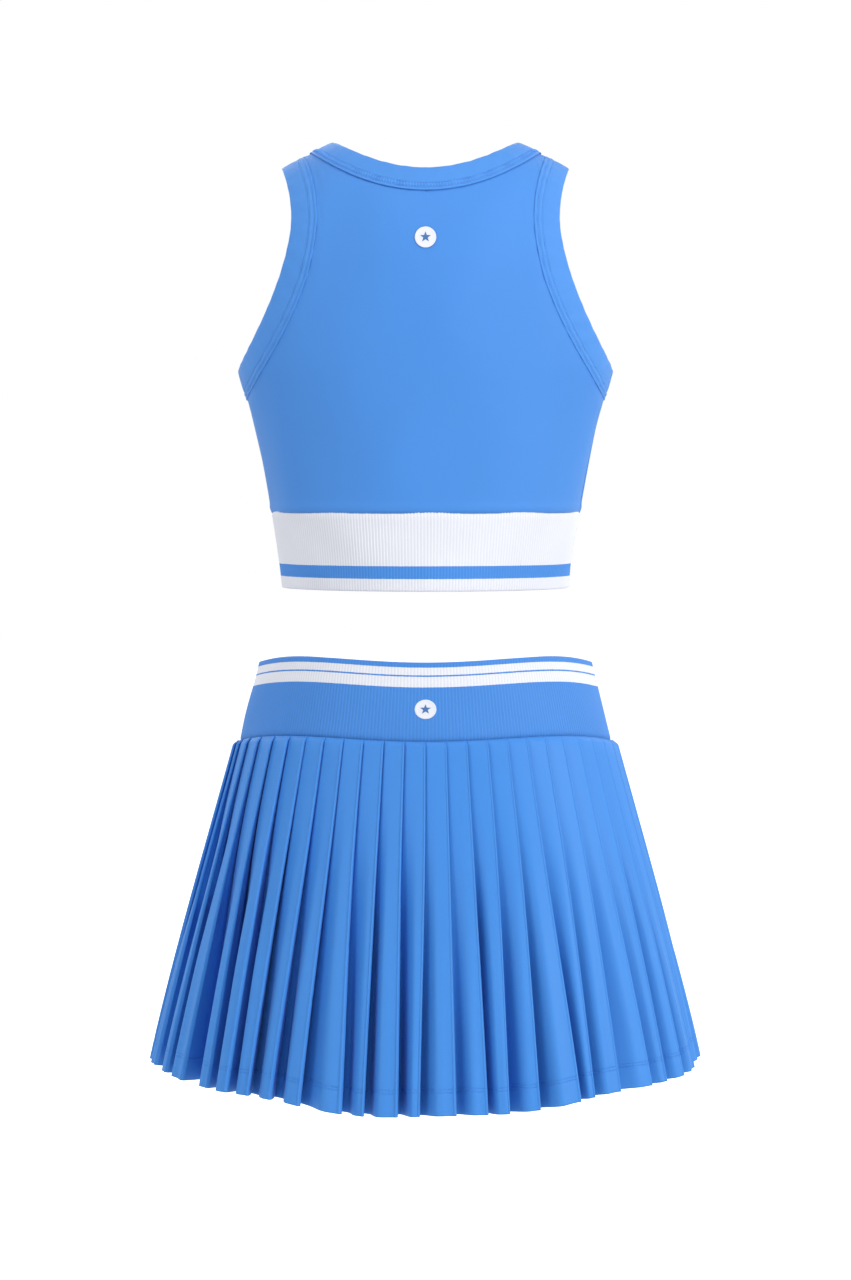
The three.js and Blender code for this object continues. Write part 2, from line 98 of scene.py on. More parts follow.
def profile(pairs: Sequence[tuple[float, float]]) -> Callable[[Array], Array]:
    """A smooth function through (place, value) pairs, held flat past its ends.

    Args:
        pairs: places in rising order, each with its value.

    Returns:
        The function, which takes an array of places.
    """
    places, values = np.array(pairs, float).T
    before = np.maximum(np.arange(len(places)) - 1, 0)
    after = np.minimum(np.arange(len(places)) + 1, len(places) - 1)
    slopes = (values[after] - values[before]) / (places[after] - places[before])

    def at(place: Array) -> Array:
        """The profile's values at places.

        Args:
            place: where, in the places' own measure.

        Returns:
            The values there.
        """
        place = np.clip(np.asarray(place, float), places[0], places[-1])
        i = np.clip(np.searchsorted(places, place), 1, len(places) - 1)
        span = places[i] - places[i - 1]
        t = (place - places[i - 1]) / span
        ends = values[i - 1] * (1 + 2 * t) * (1 - t) ** 2 + values[i] * t * t * (3 - 2 * t)
        return ends + span * t * (1 - t) * (slopes[i - 1] * (1 - t) - slopes[i] * t)

    return at


def normals_of(surface: Surface, p: Array, q: Array) -> Array:
    """Unit normals of a surface at (p, q), on the side that q turned onto p gives.

    Args:
        surface: gives a point for each pair of places.
        p: the points' first places.
        q: their second places.

    Returns:
        A normal for each point.
    """
    nudge = 1e-4
    along_p = surface(p + nudge, q) - surface(p - nudge, q)
    along_q = surface(p, q + nudge) - surface(p, q - nudge)
    return unit(np.cross(along_q, along_p))


def outward_normals(surface: Surface, p: Array, q: Array) -> Array:
    """Unit normals of a surface round the body, on the side away from the body's axis."""
    normals = normals_of(surface, p, q)
    return normals * np.sign((normals * surface(p, q) * LEVEL).sum(-1, keepdims=True))


# ----------------------------------------------------------------------------------------------------
# Meshes
# ----------------------------------------------------------------------------------------------------
@dataclass
class Cloth:
    """A grid of points, points[row, column], with a texture place in millimetres for each."""

    points: Array
    places: Array
    closed_rows: bool = False
    closed_columns: bool = False
    flipped: bool = False

    def flat_size(self) -> tuple[float, float, float]:
        """The cloth's width, length and area when it is laid flat, in metres.

        Returns:
            The width, the length and the area.
        """
        points = self.points
        if self.closed_columns:
            points = np.concatenate([points, points[:, :1]], axis=1)
        across = points[:, 1:] - points[:, :-1]
        down = points[1:] - points[:-1]
        width = np.linalg.norm(across, axis=-1).sum(1).max()
        length = np.linalg.norm(down, axis=-1).sum(0).max()
        area = np.linalg.norm(np.cross(across[:-1], down[:, :-1]), axis=-1).sum()
        return width * MM, length * MM, min(area * MM * MM, width * length * MM * MM)


def smooth_mesh(name: str, vertices: Sequence[Array], faces: Sequence[Array]) -> bpy.types.Mesh:
    """A mesh shaded smooth, of several lists of points and of faces.

    Args:
        name: the mesh's name.
        vertices: lists of points, in millimetres.
        faces: lists of faces, as point numbers.

    Returns:
        The mesh.
    """
    mesh = bpy.data.meshes.new(name)
    mesh.from_pydata((np.concatenate(vertices) * MM).tolist(), [], np.concatenate(faces).tolist())
    mesh.shade_smooth()
    return mesh


def mesh_of(name: str, cloths: Sequence[Cloth]) -> bpy.types.Mesh:
    """One mesh of several grids, with the cloths' places as its texture places.

    Args:
        name: the mesh's name.
        cloths: the grids.

    Returns:
        The mesh.
    """
    vertices, faces, places = [], [], []
    start = 0
    for cloth in cloths:
        rows, columns = cloth.points.shape[:2]
        number = start + np.arange(rows * columns).reshape(rows, columns)
        place = cloth.places
        r = np.arange(rows if cloth.closed_rows else rows - 1)[:, None]
        c = np.arange(columns if cloth.closed_columns else columns - 1)[None, :]
        r2, c2 = (r + 1) % rows, (c + 1) % columns
        corners = [number[r, c], number[r, c2], number[r2, c2], number[r2, c]]
        spots = [place[r, c], place[r, c2], place[r2, c2], place[r2, c]]
        if cloth.closed_columns:
            step = place[:, 1] - place[:, 0]
            seam = place[:, -1] + step
            for spot, rr in ((spots[1], r), (spots[2], r2)):
                spot[:, -1] = seam[rr[:, 0]]
        if cloth.flipped:
            corners, spots = corners[::-1], spots[::-1]
        faces.append(np.stack(corners, -1).reshape(-1, 4))
        places.append(np.stack(spots, -2).reshape(-1, 4, 2))
        vertices.append(cloth.points.reshape(-1, 3))
        start += rows * columns
    mesh = smooth_mesh(name, vertices, faces)
    layer = mesh.uv_layers.new(name="cloth_mm")
    layer.data.foreach_set("uv", np.concatenate(places).reshape(-1).astype(np.float32))
    return mesh


def merge_close(mesh: bpy.types.Mesh) -> None:
    """Joins the mesh's vertices that lie in the same place.

    Args:
        mesh: the mesh, which is changed in place.
    """
    work = bmesh.new()
    work.from_mesh(mesh)
    bmesh.ops.remove_doubles(work, verts=work.verts, dist=0.01 * MM)
    work.to_mesh(mesh)
    work.free()


@dataclass
class Piece:
    """One visible piece: what it rides on, what it stands for and what it is made of."""

    name: str
    body: str
    slot: str
    material: bpy.types.Material
    nodes: tuple[str, ...] = ()

    def place(self, mesh: bpy.types.Mesh, thickness: float = 0.0) -> bpy.types.Object:
        """Makes the object of a mesh, thickened evenly to both sides if it has a thickness.

        Args:
            mesh: the piece's mesh.
            thickness: in millimetres, or 0 to leave the mesh as it is.

        Returns:
            The object.
        """
        mesh.materials.append(self.material)
        piece = bpy.data.objects.new(self.name, mesh)
        bpy.context.scene.collection.objects.link(piece)
        if thickness:
            shell = piece.modifiers.new("thickness", "SOLIDIFY")
            shell.thickness = thickness * MM
            shell.offset = 0
        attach(piece, self.body)
        if self.nodes:
            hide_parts(*self.nodes)
        return piece


def stitch_row(starts: Array, ends: Array, normals: Array, radius: float = 0.24) -> tuple[Array, Array]:
    """Short raised threads, each from a start to an end on the cloth.

    Args:
        starts: where each thread comes out of the cloth.
        ends: where it goes back in.
        normals: the cloth's normal at each.
        radius: half the thread's thickness.

    Returns:
        The vertices, and the faces as four vertex numbers each.
    """
    sides = 6
    stations = np.array([0.0, 0.18, 0.5, 0.82, 1.0])
    height = np.array([-0.4, 0.75, 1.0, 0.75, -0.4]) * radius
    girth = np.array([0.55, 1.0, 1.0, 1.0, 0.55]) * radius
    across = unit(np.cross(ends - starts, normals))
    turn = np.arange(sides) * FULL_TURN / sides
    centre = starts[:, None] + (ends - starts)[:, None] * stations[None, :, None]
    centre = centre + normals[:, None] * height[None, :, None]
    ring = across[:, None, None] * np.cos(turn)[:, None] + normals[:, None, None] * np.sin(turn)[:, None]
    points = centre[:, :, None] + ring * girth[None, :, None, None]
    number = np.arange(points.size // 3).reshape(len(starts), len(stations), sides)
    following = np.roll(number, -1, axis=2)
    quads = np.stack([number[:, :-1], following[:, :-1], following[:, 1:], number[:, 1:]], -1)
    return points.reshape(-1, 3), quads.reshape(-1, 4)


def stitches_mesh(name: str, rows: Sequence[tuple[Array, Array, Array]]) -> bpy.types.Mesh:
    """One mesh of all the threads in several rows of (starts, ends, normals).

    Args:
        name: the mesh's name.
        rows: the threads' starts, ends and normals, for each row.

    Returns:
        The mesh.
    """
    vertices, faces = [], []
    start = 0
    for row in rows:
        points, quads = stitch_row(*row)
        vertices.append(points)
        faces.append(quads + start)
        start += len(points)
    return smooth_mesh(name, vertices, faces)


def dashes(
    points: Array, normals: Array, pitch: float = 3.0, gap: float = 0.22
) -> tuple[Array, Array, Array]:
    """Stitches of one pitch along a line of points.

    Args:
        points: the line, closely spaced.
        normals: the cloth's normal at each point.
        pitch: from the start of one stitch to the next.
        gap: the share of the pitch between two stitches.

    Returns:
        Starts, ends and normals for stitch_row.
    """
    length = np.concatenate([[0], np.cumsum(np.linalg.norm(np.diff(points, axis=0), axis=1))])
    count = max(int(length[-1] / pitch), 1)
    pitch = length[-1] / count
    begin = (np.arange(count) + gap / 2) * pitch
    finish = begin + pitch * (1 - gap)

    def at(values: Array, where: Array) -> Array:
        """The values at distances along the line."""
        return np.stack([np.interp(where, length, values[:, i]) for i in range(3)], -1)

    middle = (begin + finish) / 2
    return at(points, begin), at(points, finish), unit(at(normals, middle))


# ----------------------------------------------------------------------------------------------------
# Materials
# ----------------------------------------------------------------------------------------------------
class Dye(Enum):
    """The cloths' colours, as linear red, green and blue."""

    BLUE = (0.057, 0.250, 0.700)
    BAND_BLUE = (0.063, 0.264, 0.720)
    RIB_BLUE = (0.054, 0.238, 0.675)
    PLEAT_BLUE = (0.046, 0.245, 0.700)
    THREAD_BLUE = (0.100, 0.340, 0.820)
    WHITE = (0.750, 0.770, 0.840)
    SATIN = (0.740, 0.740, 0.720)
    MOTIF = (0.050, 0.160, 0.400)


class NodeSketch:
    """Adds nodes to a node tree and joins them, one call for each node."""

    def __init__(self, tree: bpy.types.NodeTree) -> None:
        """Starts a sketch of a node tree."""
        self.tree = tree

    def add(self, kind: str, **settings: object) -> bpy.types.Node:
        """A new node with its settings.

        Args:
            kind: the node's type.
            settings: its properties, by name.

        Returns:
            The node.
        """
        node = self.tree.nodes.new(kind)
        for key, value in settings.items():
            setattr(node, key, value)
        return node

    def feed(self, target: Socket, source: object) -> None:
        """Joins a socket to another, or sets it to a plain value.

        Args:
            target: the input that is set.
            source: a socket or a plain value.
        """
        if isinstance(source, bpy.types.NodeSocket):
            self.tree.links.new(source, target)
        else:
            target.default_value = source

    def math(self, operation: str, *inputs: object) -> Socket:
        """One arithmetic step.

        Args:
            operation: the step's name.
            inputs: sockets or numbers, in order.

        Returns:
            The result.
        """
        node = self.add("ShaderNodeMath", operation=operation)
        for socket, source in zip(node.inputs, inputs):
            self.feed(socket, source)
        return node.outputs[0]

    def linear(self, value: Socket, slope: object, start: object) -> Socket:
        """A value times a slope, on top of a start."""
        return self.math("MULTIPLY_ADD", value, slope, start)

    def noise(self, vector: Socket, scale: float, detail: float = 2.0) -> Socket:
        """Smooth noise from 0 to 1 at a place.

        Args:
            vector: the place.
            scale: how fine the noise is.
            detail: how much finer noise it has in it.

        Returns:
            The noise.
        """
        node = self.add("ShaderNodeTexNoise")
        self.feed(node.inputs["Vector"], vector)
        node.inputs["Scale"].default_value = scale
        node.inputs["Detail"].default_value = detail
        return node.outputs["Fac"]

    def split(self, vector: Socket) -> tuple[Socket, Socket]:
        """The first two parts of a vector.

        Args:
            vector: what is split.

        Returns:
            The first part and the second.
        """
        node = self.add("ShaderNodeSeparateXYZ")
        self.feed(node.inputs[0], vector)
        return node.outputs[0], node.outputs[1]

    def wave(self, place: Socket, pitch: float) -> Socket:
        """A cosine of one pitch, from 0 to 1."""
        turn = self.math("MULTIPLY", place, FULL_TURN / pitch)
        return self.linear(self.math("COSINE", turn), 0.5, 0.5)

    def blend(self, share: object, a: object, b: object) -> Socket:
        """The colour a share of the way from a to b.

        Args:
            share: how far from a to b.
            a: the colour at 0.
            b: the colour at 1.

        Returns:
            The colour.
        """
        node = self.add("ShaderNodeMix", data_type="RGBA", clamp_factor=True)
        self.feed(node.inputs[0], share)
        self.feed(node.inputs[6], a)
        self.feed(node.inputs[7], b)
        return node.outputs[2]

    def scaled(self, colour: object, factor: Socket) -> Socket:
        """A colour made lighter or darker by a factor.

        Args:
            colour: a colour or its socket.
            factor: what its strength is multiplied by.

        Returns:
            The colour.
        """
        node = self.add("ShaderNodeVectorMath", operation="SCALE")
        self.feed(node.inputs[0], colour)
        self.feed(node.inputs["Scale"], factor)
        return node.outputs[0]

    def relief(self, shader: bpy.types.Node, height: Socket, strength: float, depth: float) -> None:
        """Gives a shader a fine relief, at most a depth in millimetres.

        Args:
            shader: the material's shader.
            height: how high the surface is, as a share of the depth.
            strength: how much of the relief shows.
            depth: in millimetres.
        """
        bump = self.add("ShaderNodeBump")
        bump.inputs["Strength"].default_value = strength
        bump.inputs["Distance"].default_value = depth * MM
        self.feed(bump.inputs["Height"], height)
        self.feed(shader.inputs["Normal"], bump.outputs[0])


def new_material(name: str) -> tuple[bpy.types.Material, NodeSketch, bpy.types.Node]:
    """A material, the sketch of its nodes, and its shader.

    Args:
        name: the material's name.

    Returns:
        The material, the sketch and the shader.
    """
    material = bpy.data.materials.new(name)
    material.use_nodes = True
    tree = material.node_tree
    return material, NodeSketch(tree), tree.nodes["Principled BSDF"]


def new_group(
    name: str, inputs: dict[str, str], outputs: dict[str, str]
) -> tuple[bpy.types.NodeTree, dict[str, Socket], dict[str, Socket]]:
    """An empty node group.

    Args:
        name: the group's name.
        inputs: each input's name and socket type.
        outputs: the same for the outputs.

    Returns:
        The group, its input sockets and its output sockets, by name.
    """
    tree = bpy.data.node_groups.new(name, "ShaderNodeTree")
    for names, direction in ((inputs, "INPUT"), (outputs, "OUTPUT")):
        for key, kind in names.items():
            tree.interface.new_socket(key, in_out=direction, socket_type=kind)
    entry = tree.nodes.new("NodeGroupInput")
    leave = tree.nodes.new("NodeGroupOutput")
    return tree, {key: entry.outputs[key] for key in inputs}, {key: leave.inputs[key] for key in outputs}


VECTOR, NUMBER = "NodeSocketVector", "NodeSocketFloat"
RELIEF = {"Height": NUMBER, "Shade": NUMBER}


def knit_group() -> bpy.types.NodeTree:
    """Rows of tiny knitted loops, from a place in millimetres and the pitch of the loops, with a painted
    shade that darkens the low places between the loops.

    Returns:
        The group.
    """
    pitches = {"Wale": NUMBER, "Course": NUMBER}
    tree, given, result = new_group("knit_loops", {"Place": VECTOR, **pitches}, RELIEF)
    sketch = NodeSketch(tree)
    x, y = sketch.split(given["Place"])
    across = sketch.math("DIVIDE", x, given["Wale"])
    up = sketch.math("DIVIDE", y, given["Course"])
    lean = sketch.math("ABSOLUTE", sketch.math("SUBTRACT", sketch.math("FRACT", across), 0.5))
    leg = sketch.wave(sketch.math("ADD", up, lean), 1.0)
    rib = sketch.math("SINE", sketch.math("MULTIPLY", sketch.math("FRACT", across), HALF_TURN))
    height = sketch.math("MULTIPLY", rib, sketch.linear(leg, 0.6, 0.4))
    sketch.feed(result["Height"], height)
    # The Shade output is painted shade: the loops' low places are darker and their tops lighter.
    sketch.feed(result["Shade"], sketch.linear(height, 0.10, 0.95))
    return tree


def weave_group() -> bpy.types.NodeTree:
    """A fine twill, from a place in millimetres, with a painted shade that darkens its low places.

    Returns:
        The group.
    """
    tree, given, result = new_group("fine_twill", {"Place": VECTOR, "Pitch": NUMBER}, RELIEF)
    sketch = NodeSketch(tree)
    x, y = sketch.split(given["Place"])
    across = sketch.math("DIVIDE", x, given["Pitch"])
    up = sketch.math("DIVIDE", y, given["Pitch"])
    twill = sketch.wave(sketch.math("ADD", across, up), 2.0)
    warp = sketch.wave(across, 1.0)
    height = sketch.math("MULTIPLY", twill, sketch.linear(warp, 0.4, 0.6))
    sketch.feed(result["Height"], height)
    # The Shade output is painted shade: the twill's low places are darker and its raised threads lighter.
    sketch.feed(result["Shade"], sketch.linear(height, 0.06, 0.97))
    return tree


def unevenness_group() -> bpy.types.NodeTree:
    """The slow changes of shade and gloss that dyed cloth has, and its loose fibres.

    Returns:
        The group.
    """
    results = {"Shade": NUMBER, "Gloss": NUMBER, "Fuzz": NUMBER}
    tree, given, result = new_group("dye_unevenness", {"Place": VECTOR}, results)
    sketch = NodeSketch(tree)
    broad = sketch.noise(given["Place"], 0.012, 3.0)
    fine = sketch.noise(given["Place"], 0.9, 2.0)
    shade = sketch.linear(broad, 0.10, 0.95)
    speckle = sketch.linear(fine, 0.06, 0.97)
    sketch.feed(result["Shade"], sketch.math("MULTIPLY", shade, speckle))
    sketch.feed(result["Gloss"], sketch.linear(broad, 0.12, -0.06))
    sketch.feed(result["Fuzz"], fine)
    return tree


class Effects:
    """The node groups that more than one material uses, each made once."""

    _made: dict[str, bpy.types.NodeTree] = {}
    _makers = {"knit": knit_group, "weave": weave_group, "unevenness": unevenness_group}

    @classmethod
    def get(cls, name: str) -> bpy.types.NodeTree:
        """The group of a name.

        Args:
            name: the group's name.

        Returns:
            The group.
        """
        if name not in cls._made:
            cls._made[name] = cls._makers[name]()
        return cls._made[name]


class Texture(Enum):
    """How a cloth is made."""

    KNIT = "knit"
    WEAVE = "weave"


@dataclass(frozen=True)
class ClothFinish:
    """A dyed cloth, with its loops or weave, its sheen and any stripes that are worked into it, and a
    painted shade in the low places of its loops, weave and ribs.
    """

    name: str
    dye: Dye
    texture: Texture
    pitch: tuple[float, float] = (0.8, 0.6)
    roughness: float = 0.62
    sheen: float = 0.16
    bump: float = 0.25
    relief: float = 0.3
    rib_pitch: float = 0.0
    stripes: tuple[tuple[float, float], ...] = ()
    stripe_dye: Dye = Dye.WHITE

    def build(self) -> bpy.types.Material:
        """Makes the material.

        Returns:
            The material.
        """
        material, sketch, shader = new_material(self.name)
        place = sketch.add("ShaderNodeUVMap", uv_map="cloth_mm").outputs[0]
        texture = self._texture(sketch, place)
        uneven = sketch.add("ShaderNodeGroup", node_tree=Effects.get("unevenness"))
        sketch.feed(uneven.inputs["Place"], place)
        # The colour's factor is the painted shade of the loops or weave times the dye's uneven tone.
        shade = sketch.math("MULTIPLY", texture.outputs["Shade"], uneven.outputs["Shade"])
        height = texture.outputs["Height"]
        if self.rib_pitch:
            rib = sketch.wave(sketch.split(place)[0], self.rib_pitch)
            # Painted shade: the rib's valleys are darker than its ridges, which the same wave raises in the
            # bump.
            shade = sketch.math("MULTIPLY", shade, sketch.linear(rib, 0.10, 0.93))
            height = sketch.linear(rib, 1.5, height)
        colour = sketch.scaled(self._dyed(sketch, place), shade)
        sketch.feed(shader.inputs["Base Color"], colour)
        sketch.feed(shader.inputs["Roughness"], sketch.math("ADD", uneven.outputs["Gloss"], self.roughness))
        height = sketch.linear(uneven.outputs["Fuzz"], 0.3, height)
        sketch.relief(shader, height, self.bump, self.relief)
        shader.inputs["Sheen Weight"].default_value = self.sheen
        shader.inputs["Sheen Roughness"].default_value = 0.45
        shader.inputs["Specular IOR Level"].default_value = 0.35
        return material

    def _texture(self, sketch: NodeSketch, place: Socket) -> bpy.types.Node:
        """The loops or the weave, with their relief and their painted shade.

        Args:
            sketch: the material's nodes.
            place: the place on the cloth.

        Returns:
            The group's node.
        """
        node = sketch.add("ShaderNodeGroup", node_tree=Effects.get(self.texture.value))
        sketch.feed(node.inputs["Place"], place)
        for socket, pitch in zip(list(node.inputs)[1:], self.pitch):
            socket.default_value = pitch
        return node

    def _dyed(self, sketch: NodeSketch, place: Socket) -> object:
        """The dye's colour, crossed by the stripes at their distances from the cloth's first edge.

        Args:
            sketch: the material's nodes.
            place: the place on the cloth.

        Returns:
            The colour.
        """
        ground = (*self.dye.value, 1.0)
        if not self.stripes:
            return ground[:3]
        wobble = sketch.linear(sketch.noise(place, 0.8), 0.5, -0.25)
        down = sketch.math("ADD", sketch.split(place)[1], wobble)
        cover: object = 0.0
        for low, high in self.stripes:
            below, above = sketch.math("GREATER_THAN", down, low), sketch.math("LESS_THAN", down, high)
            cover = sketch.math("ADD", cover, sketch.math("MULTIPLY", below, above))
        return sketch.blend(cover, ground, (*self.stripe_dye.value, 1.0))


@dataclass(frozen=True)
class PlainFinish:
    """A smooth printed or moulded finish with a little mottling."""

    name: str
    dye: Dye
    roughness: float = 0.45

    def build(self) -> bpy.types.Material:
        """Makes the material.

        Returns:
            The material.
        """
        material, sketch, shader = new_material(self.name)
        place = sketch.add("ShaderNodeTexCoord").outputs["Object"]
        mottle = sketch.noise(place, 900.0, 3.0)
        factor = sketch.linear(mottle, 0.08, 0.96)
        sketch.feed(shader.inputs["Base Color"], sketch.scaled(self.dye.value, factor))
        sketch.feed(shader.inputs["Roughness"], sketch.linear(mottle, 0.1, self.roughness - 0.05))
        sketch.relief(shader, mottle, 0.15, 0.1)
        return material


# ----------------------------------------------------------------------------------------------------
# The top
# ----------------------------------------------------------------------------------------------------
class Ripple:
    """Slow uneven waves that repeat the same way each time, from -1 to 1."""

    def __init__(self, seed: int, wave: tuple[float, float], count: int = 5) -> None:
        """Draws the waves' lengths, directions and phases.

        Args:
            seed: what the draws start from.
            wave: the waves' usual lengths along x and y.
            count: how many waves are added up.
        """
        draw = np.random.default_rng(seed)
        self.pull = FULL_TURN / (np.array(wave) * draw.uniform(0.7, 1.6, (count, 2)))
        self.pull *= draw.choice([-1.0, 1.0], (count, 2))
        self.phase = draw.uniform(0, FULL_TURN, count)

    def at(self, x: Array, y: Array) -> Array:
        """The waves' height at a place."""
        turns = (px * x + py * y + phase for (px, py), phase in zip(self.pull, self.phase))
        return sum(np.sin(turn) for turn in turns) / math.sqrt(len(self.phase))


@dataclass
class TopSizes:
    """The top's cut."""

    hem_height: float = 61.5
    underband_height: float = 65.0
    side_seam: float = 95.5
    armhole_height: float = 173.5
    shoulder_rise: float = 82.0
    shoulder_half_width: float = 123.5
    armhole_half_width: float = 112.0
    armhole_pinch: float = 0.7
    front_scoop: float = 9.0
    neck_half_width: float = 79.5
    neck_drop: tuple[float, float] = (46.0, 92.0)
    neck_curve: tuple[float, float] = (2.0, 2.2)
    band: float = 26.0
    band_at_shoulder: float = 22.0
    cloth: float = 1.1
    ridge_half_width: float = 160.0
    ridge_fall: float = 0.00246
    rise_below: float = 120.0

    @property
    def underband_top(self) -> float:
        """The height of the seam between the body and the underband."""
        return self.hem_height + self.underband_height

    @property
    def underarm(self) -> float:
        """The height of the armhole's lowest point."""
        return self.underband_top + self.side_seam + self.band

    @property
    def shoulder_start(self) -> float:
        """Where the torso begins to round over to the shoulder ridge."""
        return self.underarm + self.shoulder_rise

    @property
    def ridge_top(self) -> float:
        """The height of the shoulder ridge's middle."""
        return self.underarm + self.armhole_height + self.ridge_fall * self.shoulder_half_width**2


class DressForm:
    """The torso that the top stands on, by places (theta, lift).

    Theta runs round the body from 0 at the spine to a quarter turn at the wearer's left. Lift runs up the
    back, is a quarter turn on the shoulder ridge, and runs on down the front.
    """

    def __init__(self, cut: TopSizes) -> None:
        """Sets out the outline's profiles for a cut.

        Args:
            cut: the top's sizes.
        """
        self.cut = cut
        self.half_width = profile(
            [(61, 123), (82, 125), (126, 132), (164, 139), (204, 148)]
            + [(225, 154), (250, 161), (290, 163), (402, 160)]
        )
        self.back_depth = profile([(61, 86), (126, 88), (204, 92), (300, 97), (360, 95), (445, 90)])
        self.front_depth = profile(
            [(61, 89), (126, 97), (170, 112), (204, 119), (250, 112), (300, 101), (360, 94), (445, 90)]
        )

    def ridge_height(self, x: Array) -> Array:
        """The shoulder ridge's height at a distance from the middle."""
        return self.cut.ridge_top - self.cut.ridge_fall * x * x

    def rise(self, theta: Array) -> Array:
        """How far the torso climbs from the shoulders' start to the ridge."""
        return self.ridge_height(self.cut.ridge_half_width * np.sin(theta)) - self.cut.shoulder_start

    def point(self, theta: Array, lift: Array) -> Array:
        """The points of the torso at places.

        Args:
            theta: the places' angles round the body.
            lift: their angles up the back, over the shoulder and down the front.

        Returns:
            The points.
        """
        theta, lift = np.broadcast_arrays(theta, lift)
        front = lift > QUARTER_TURN
        climb = np.where(front, HALF_TURN - lift, lift)
        above = climb > 0
        climbed = np.where(above, self.rise(theta) * np.sin(climb), self.cut.rise_below * climb)
        z = self.cut.shoulder_start + climbed
        depth = np.where(front, -self.front_depth(z), self.back_depth(z))
        taper = np.where(above, np.cos(climb), 1)
        return np.stack([self.half_width(z) * np.sin(theta), depth * np.cos(theta) * taper, z], -1)

    def normal(self, theta: Array, lift: Array) -> Array:
        """The torso's outward normals at places."""
        theta, lift = np.broadcast_arrays(theta, lift)
        return normals_of(self.point, theta, lift)

    def place_round(self, theta: Array, z: Array) -> tuple[Array, Array]:
        """The back's places at angles round the body and heights.

        Args:
            theta: angles round the body.
            z: heights.

        Returns:
            The places, as theta and lift.
        """
        above = np.asarray(z - self.cut.shoulder_start, float)
        share = np.clip(above / self.rise(theta), 0, 1)
        return np.broadcast_arrays(theta, np.where(above > 0, np.arcsin(share), above / self.cut.rise_below))

    def place_at(self, x: Array, z: Array) -> tuple[Array, Array]:
        """The back's places at distances from its middle and heights."""
        return self.place_round(np.arcsin(np.clip(x / self.half_width(z), -1, 1)), z)

    def walk(self, theta: Array, lift: Array, direction: Array, distance: Array) -> tuple[Array, Array]:
        """The places a distance over the torso from others, in directions square to its normal.

        Args:
            theta: where each walk starts.
            lift: the same.
            direction: which way each goes.
            distance: how far it goes.

        Returns:
            The places, as theta and lift.
        """
        steps, nudge = 3, 1e-4
        for _ in range(steps):
            round_ = (self.point(theta + nudge, lift) - self.point(theta - nudge, lift)) / (2 * nudge)
            up = (self.point(theta, lift + nudge) - self.point(theta, lift - nudge)) / (2 * nudge)
            rr, ru, uu = (round_ * round_).sum(-1), (round_ * up).sum(-1), (up * up).sum(-1)
            go_round, go_up = (round_ * direction).sum(-1), (up * direction).sum(-1)
            scale = distance / steps / (rr * uu - ru * ru)
            theta = theta + (uu * go_round - ru * go_up) * scale
            lift = lift + (rr * go_up - ru * go_round) * scale
        return theta, lift

    def band_width(self, lift: Array) -> Array:
        """How wide a band is where it passes a place: narrower towards the shoulder ridge."""
        from_ridge = np.clip(np.abs(lift - QUARTER_TURN) / QUARTER_TURN, 0, 1)
        return mix(self.cut.band_at_shoulder, self.cut.band, from_ridge**2)


class CutEdge:
    """A cut edge of the top, and the places on the cloth beside it."""

    cloth_side = 1

    def __init__(self, form: DressForm) -> None:
        """Takes the form that the edge lies on."""
        self.form = form

    def at(self, share: Array) -> tuple[Array, Array]:
        """The edge's places at shares of the way round it."""
        raise NotImplementedError

    def inside(self, share: Array, distance: Array) -> tuple[Array, Array]:
        """The places a distance in from the edge.

        Args:
            share: the shares of the way round the edge.
            distance: how far in from it.

        Returns:
            The places, as theta and lift.
        """
        nudge = 1e-3
        share, distance = np.broadcast_arrays(share, distance)
        along = self.form.point(*self.at(share + nudge)) - self.form.point(*self.at(share - nudge))
        theta, lift = self.at(share)
        across = unit(np.cross(along, self.form.normal(theta, lift)))
        return self.form.walk(theta, lift, across, self.cloth_side * distance)


class ArmholeEdge(CutEdge):
    """The left armhole. Share 0 is the underarm, 0.5 the shoulder tip, and the back comes first."""

    def at(self, share: Array) -> tuple[Array, Array]:
        """The edge's places at shares of the way round it.

        Args:
            share: the shares of the way round.

        Returns:
            The places, as theta and lift.
        """
        cut = self.form.cut
        turn = FULL_TURN * np.mod(share, 1)
        front = turn > HALF_TURN
        up = (1 - np.cos(turn)) / 2
        narrow = cut.armhole_half_width - np.where(front, cut.front_scoop, 0) * np.sin(up * HALF_TURN) ** 2
        below = np.clip(1 - up / cut.armhole_pinch, 0, 1) ** 1.65
        above = np.clip((up - cut.armhole_pinch) / (1 - cut.armhole_pinch), 0, 1) ** 2
        x = narrow + (self.form.half_width(cut.underarm) - narrow) * below
        x = x + (cut.shoulder_half_width - narrow) * above
        theta, lift = self.form.place_at(x, cut.underarm + up * cut.armhole_height)
        return theta, np.where(front, HALF_TURN - lift, lift)


class NeckEdge(CutEdge):
    """The neck. Share 0 is the spine, 0.25 the left shoulder ridge and 0.5 the throat."""

    cloth_side = -1

    def at(self, share: Array) -> tuple[Array, Array]:
        """The edge's places at shares of the way round it.

        Args:
            share: the shares of the way round.

        Returns:
            The places, as theta and lift.
        """
        cut = self.form.cut
        turn = FULL_TURN * np.asarray(share)
        front = np.cos(turn) < 0
        drop = np.where(front, cut.neck_drop[1], cut.neck_drop[0])
        power = np.where(front, cut.neck_curve[1], cut.neck_curve[0])
        x = cut.neck_half_width * np.sin(turn)
        low = cut.ridge_top - drop
        z = low + (self.form.ridge_height(cut.neck_half_width) - low) * np.abs(np.sin(turn)) ** power
        theta, lift = self.form.place_at(x, z)
        return theta, np.where(front, HALF_TURN - lift, lift)


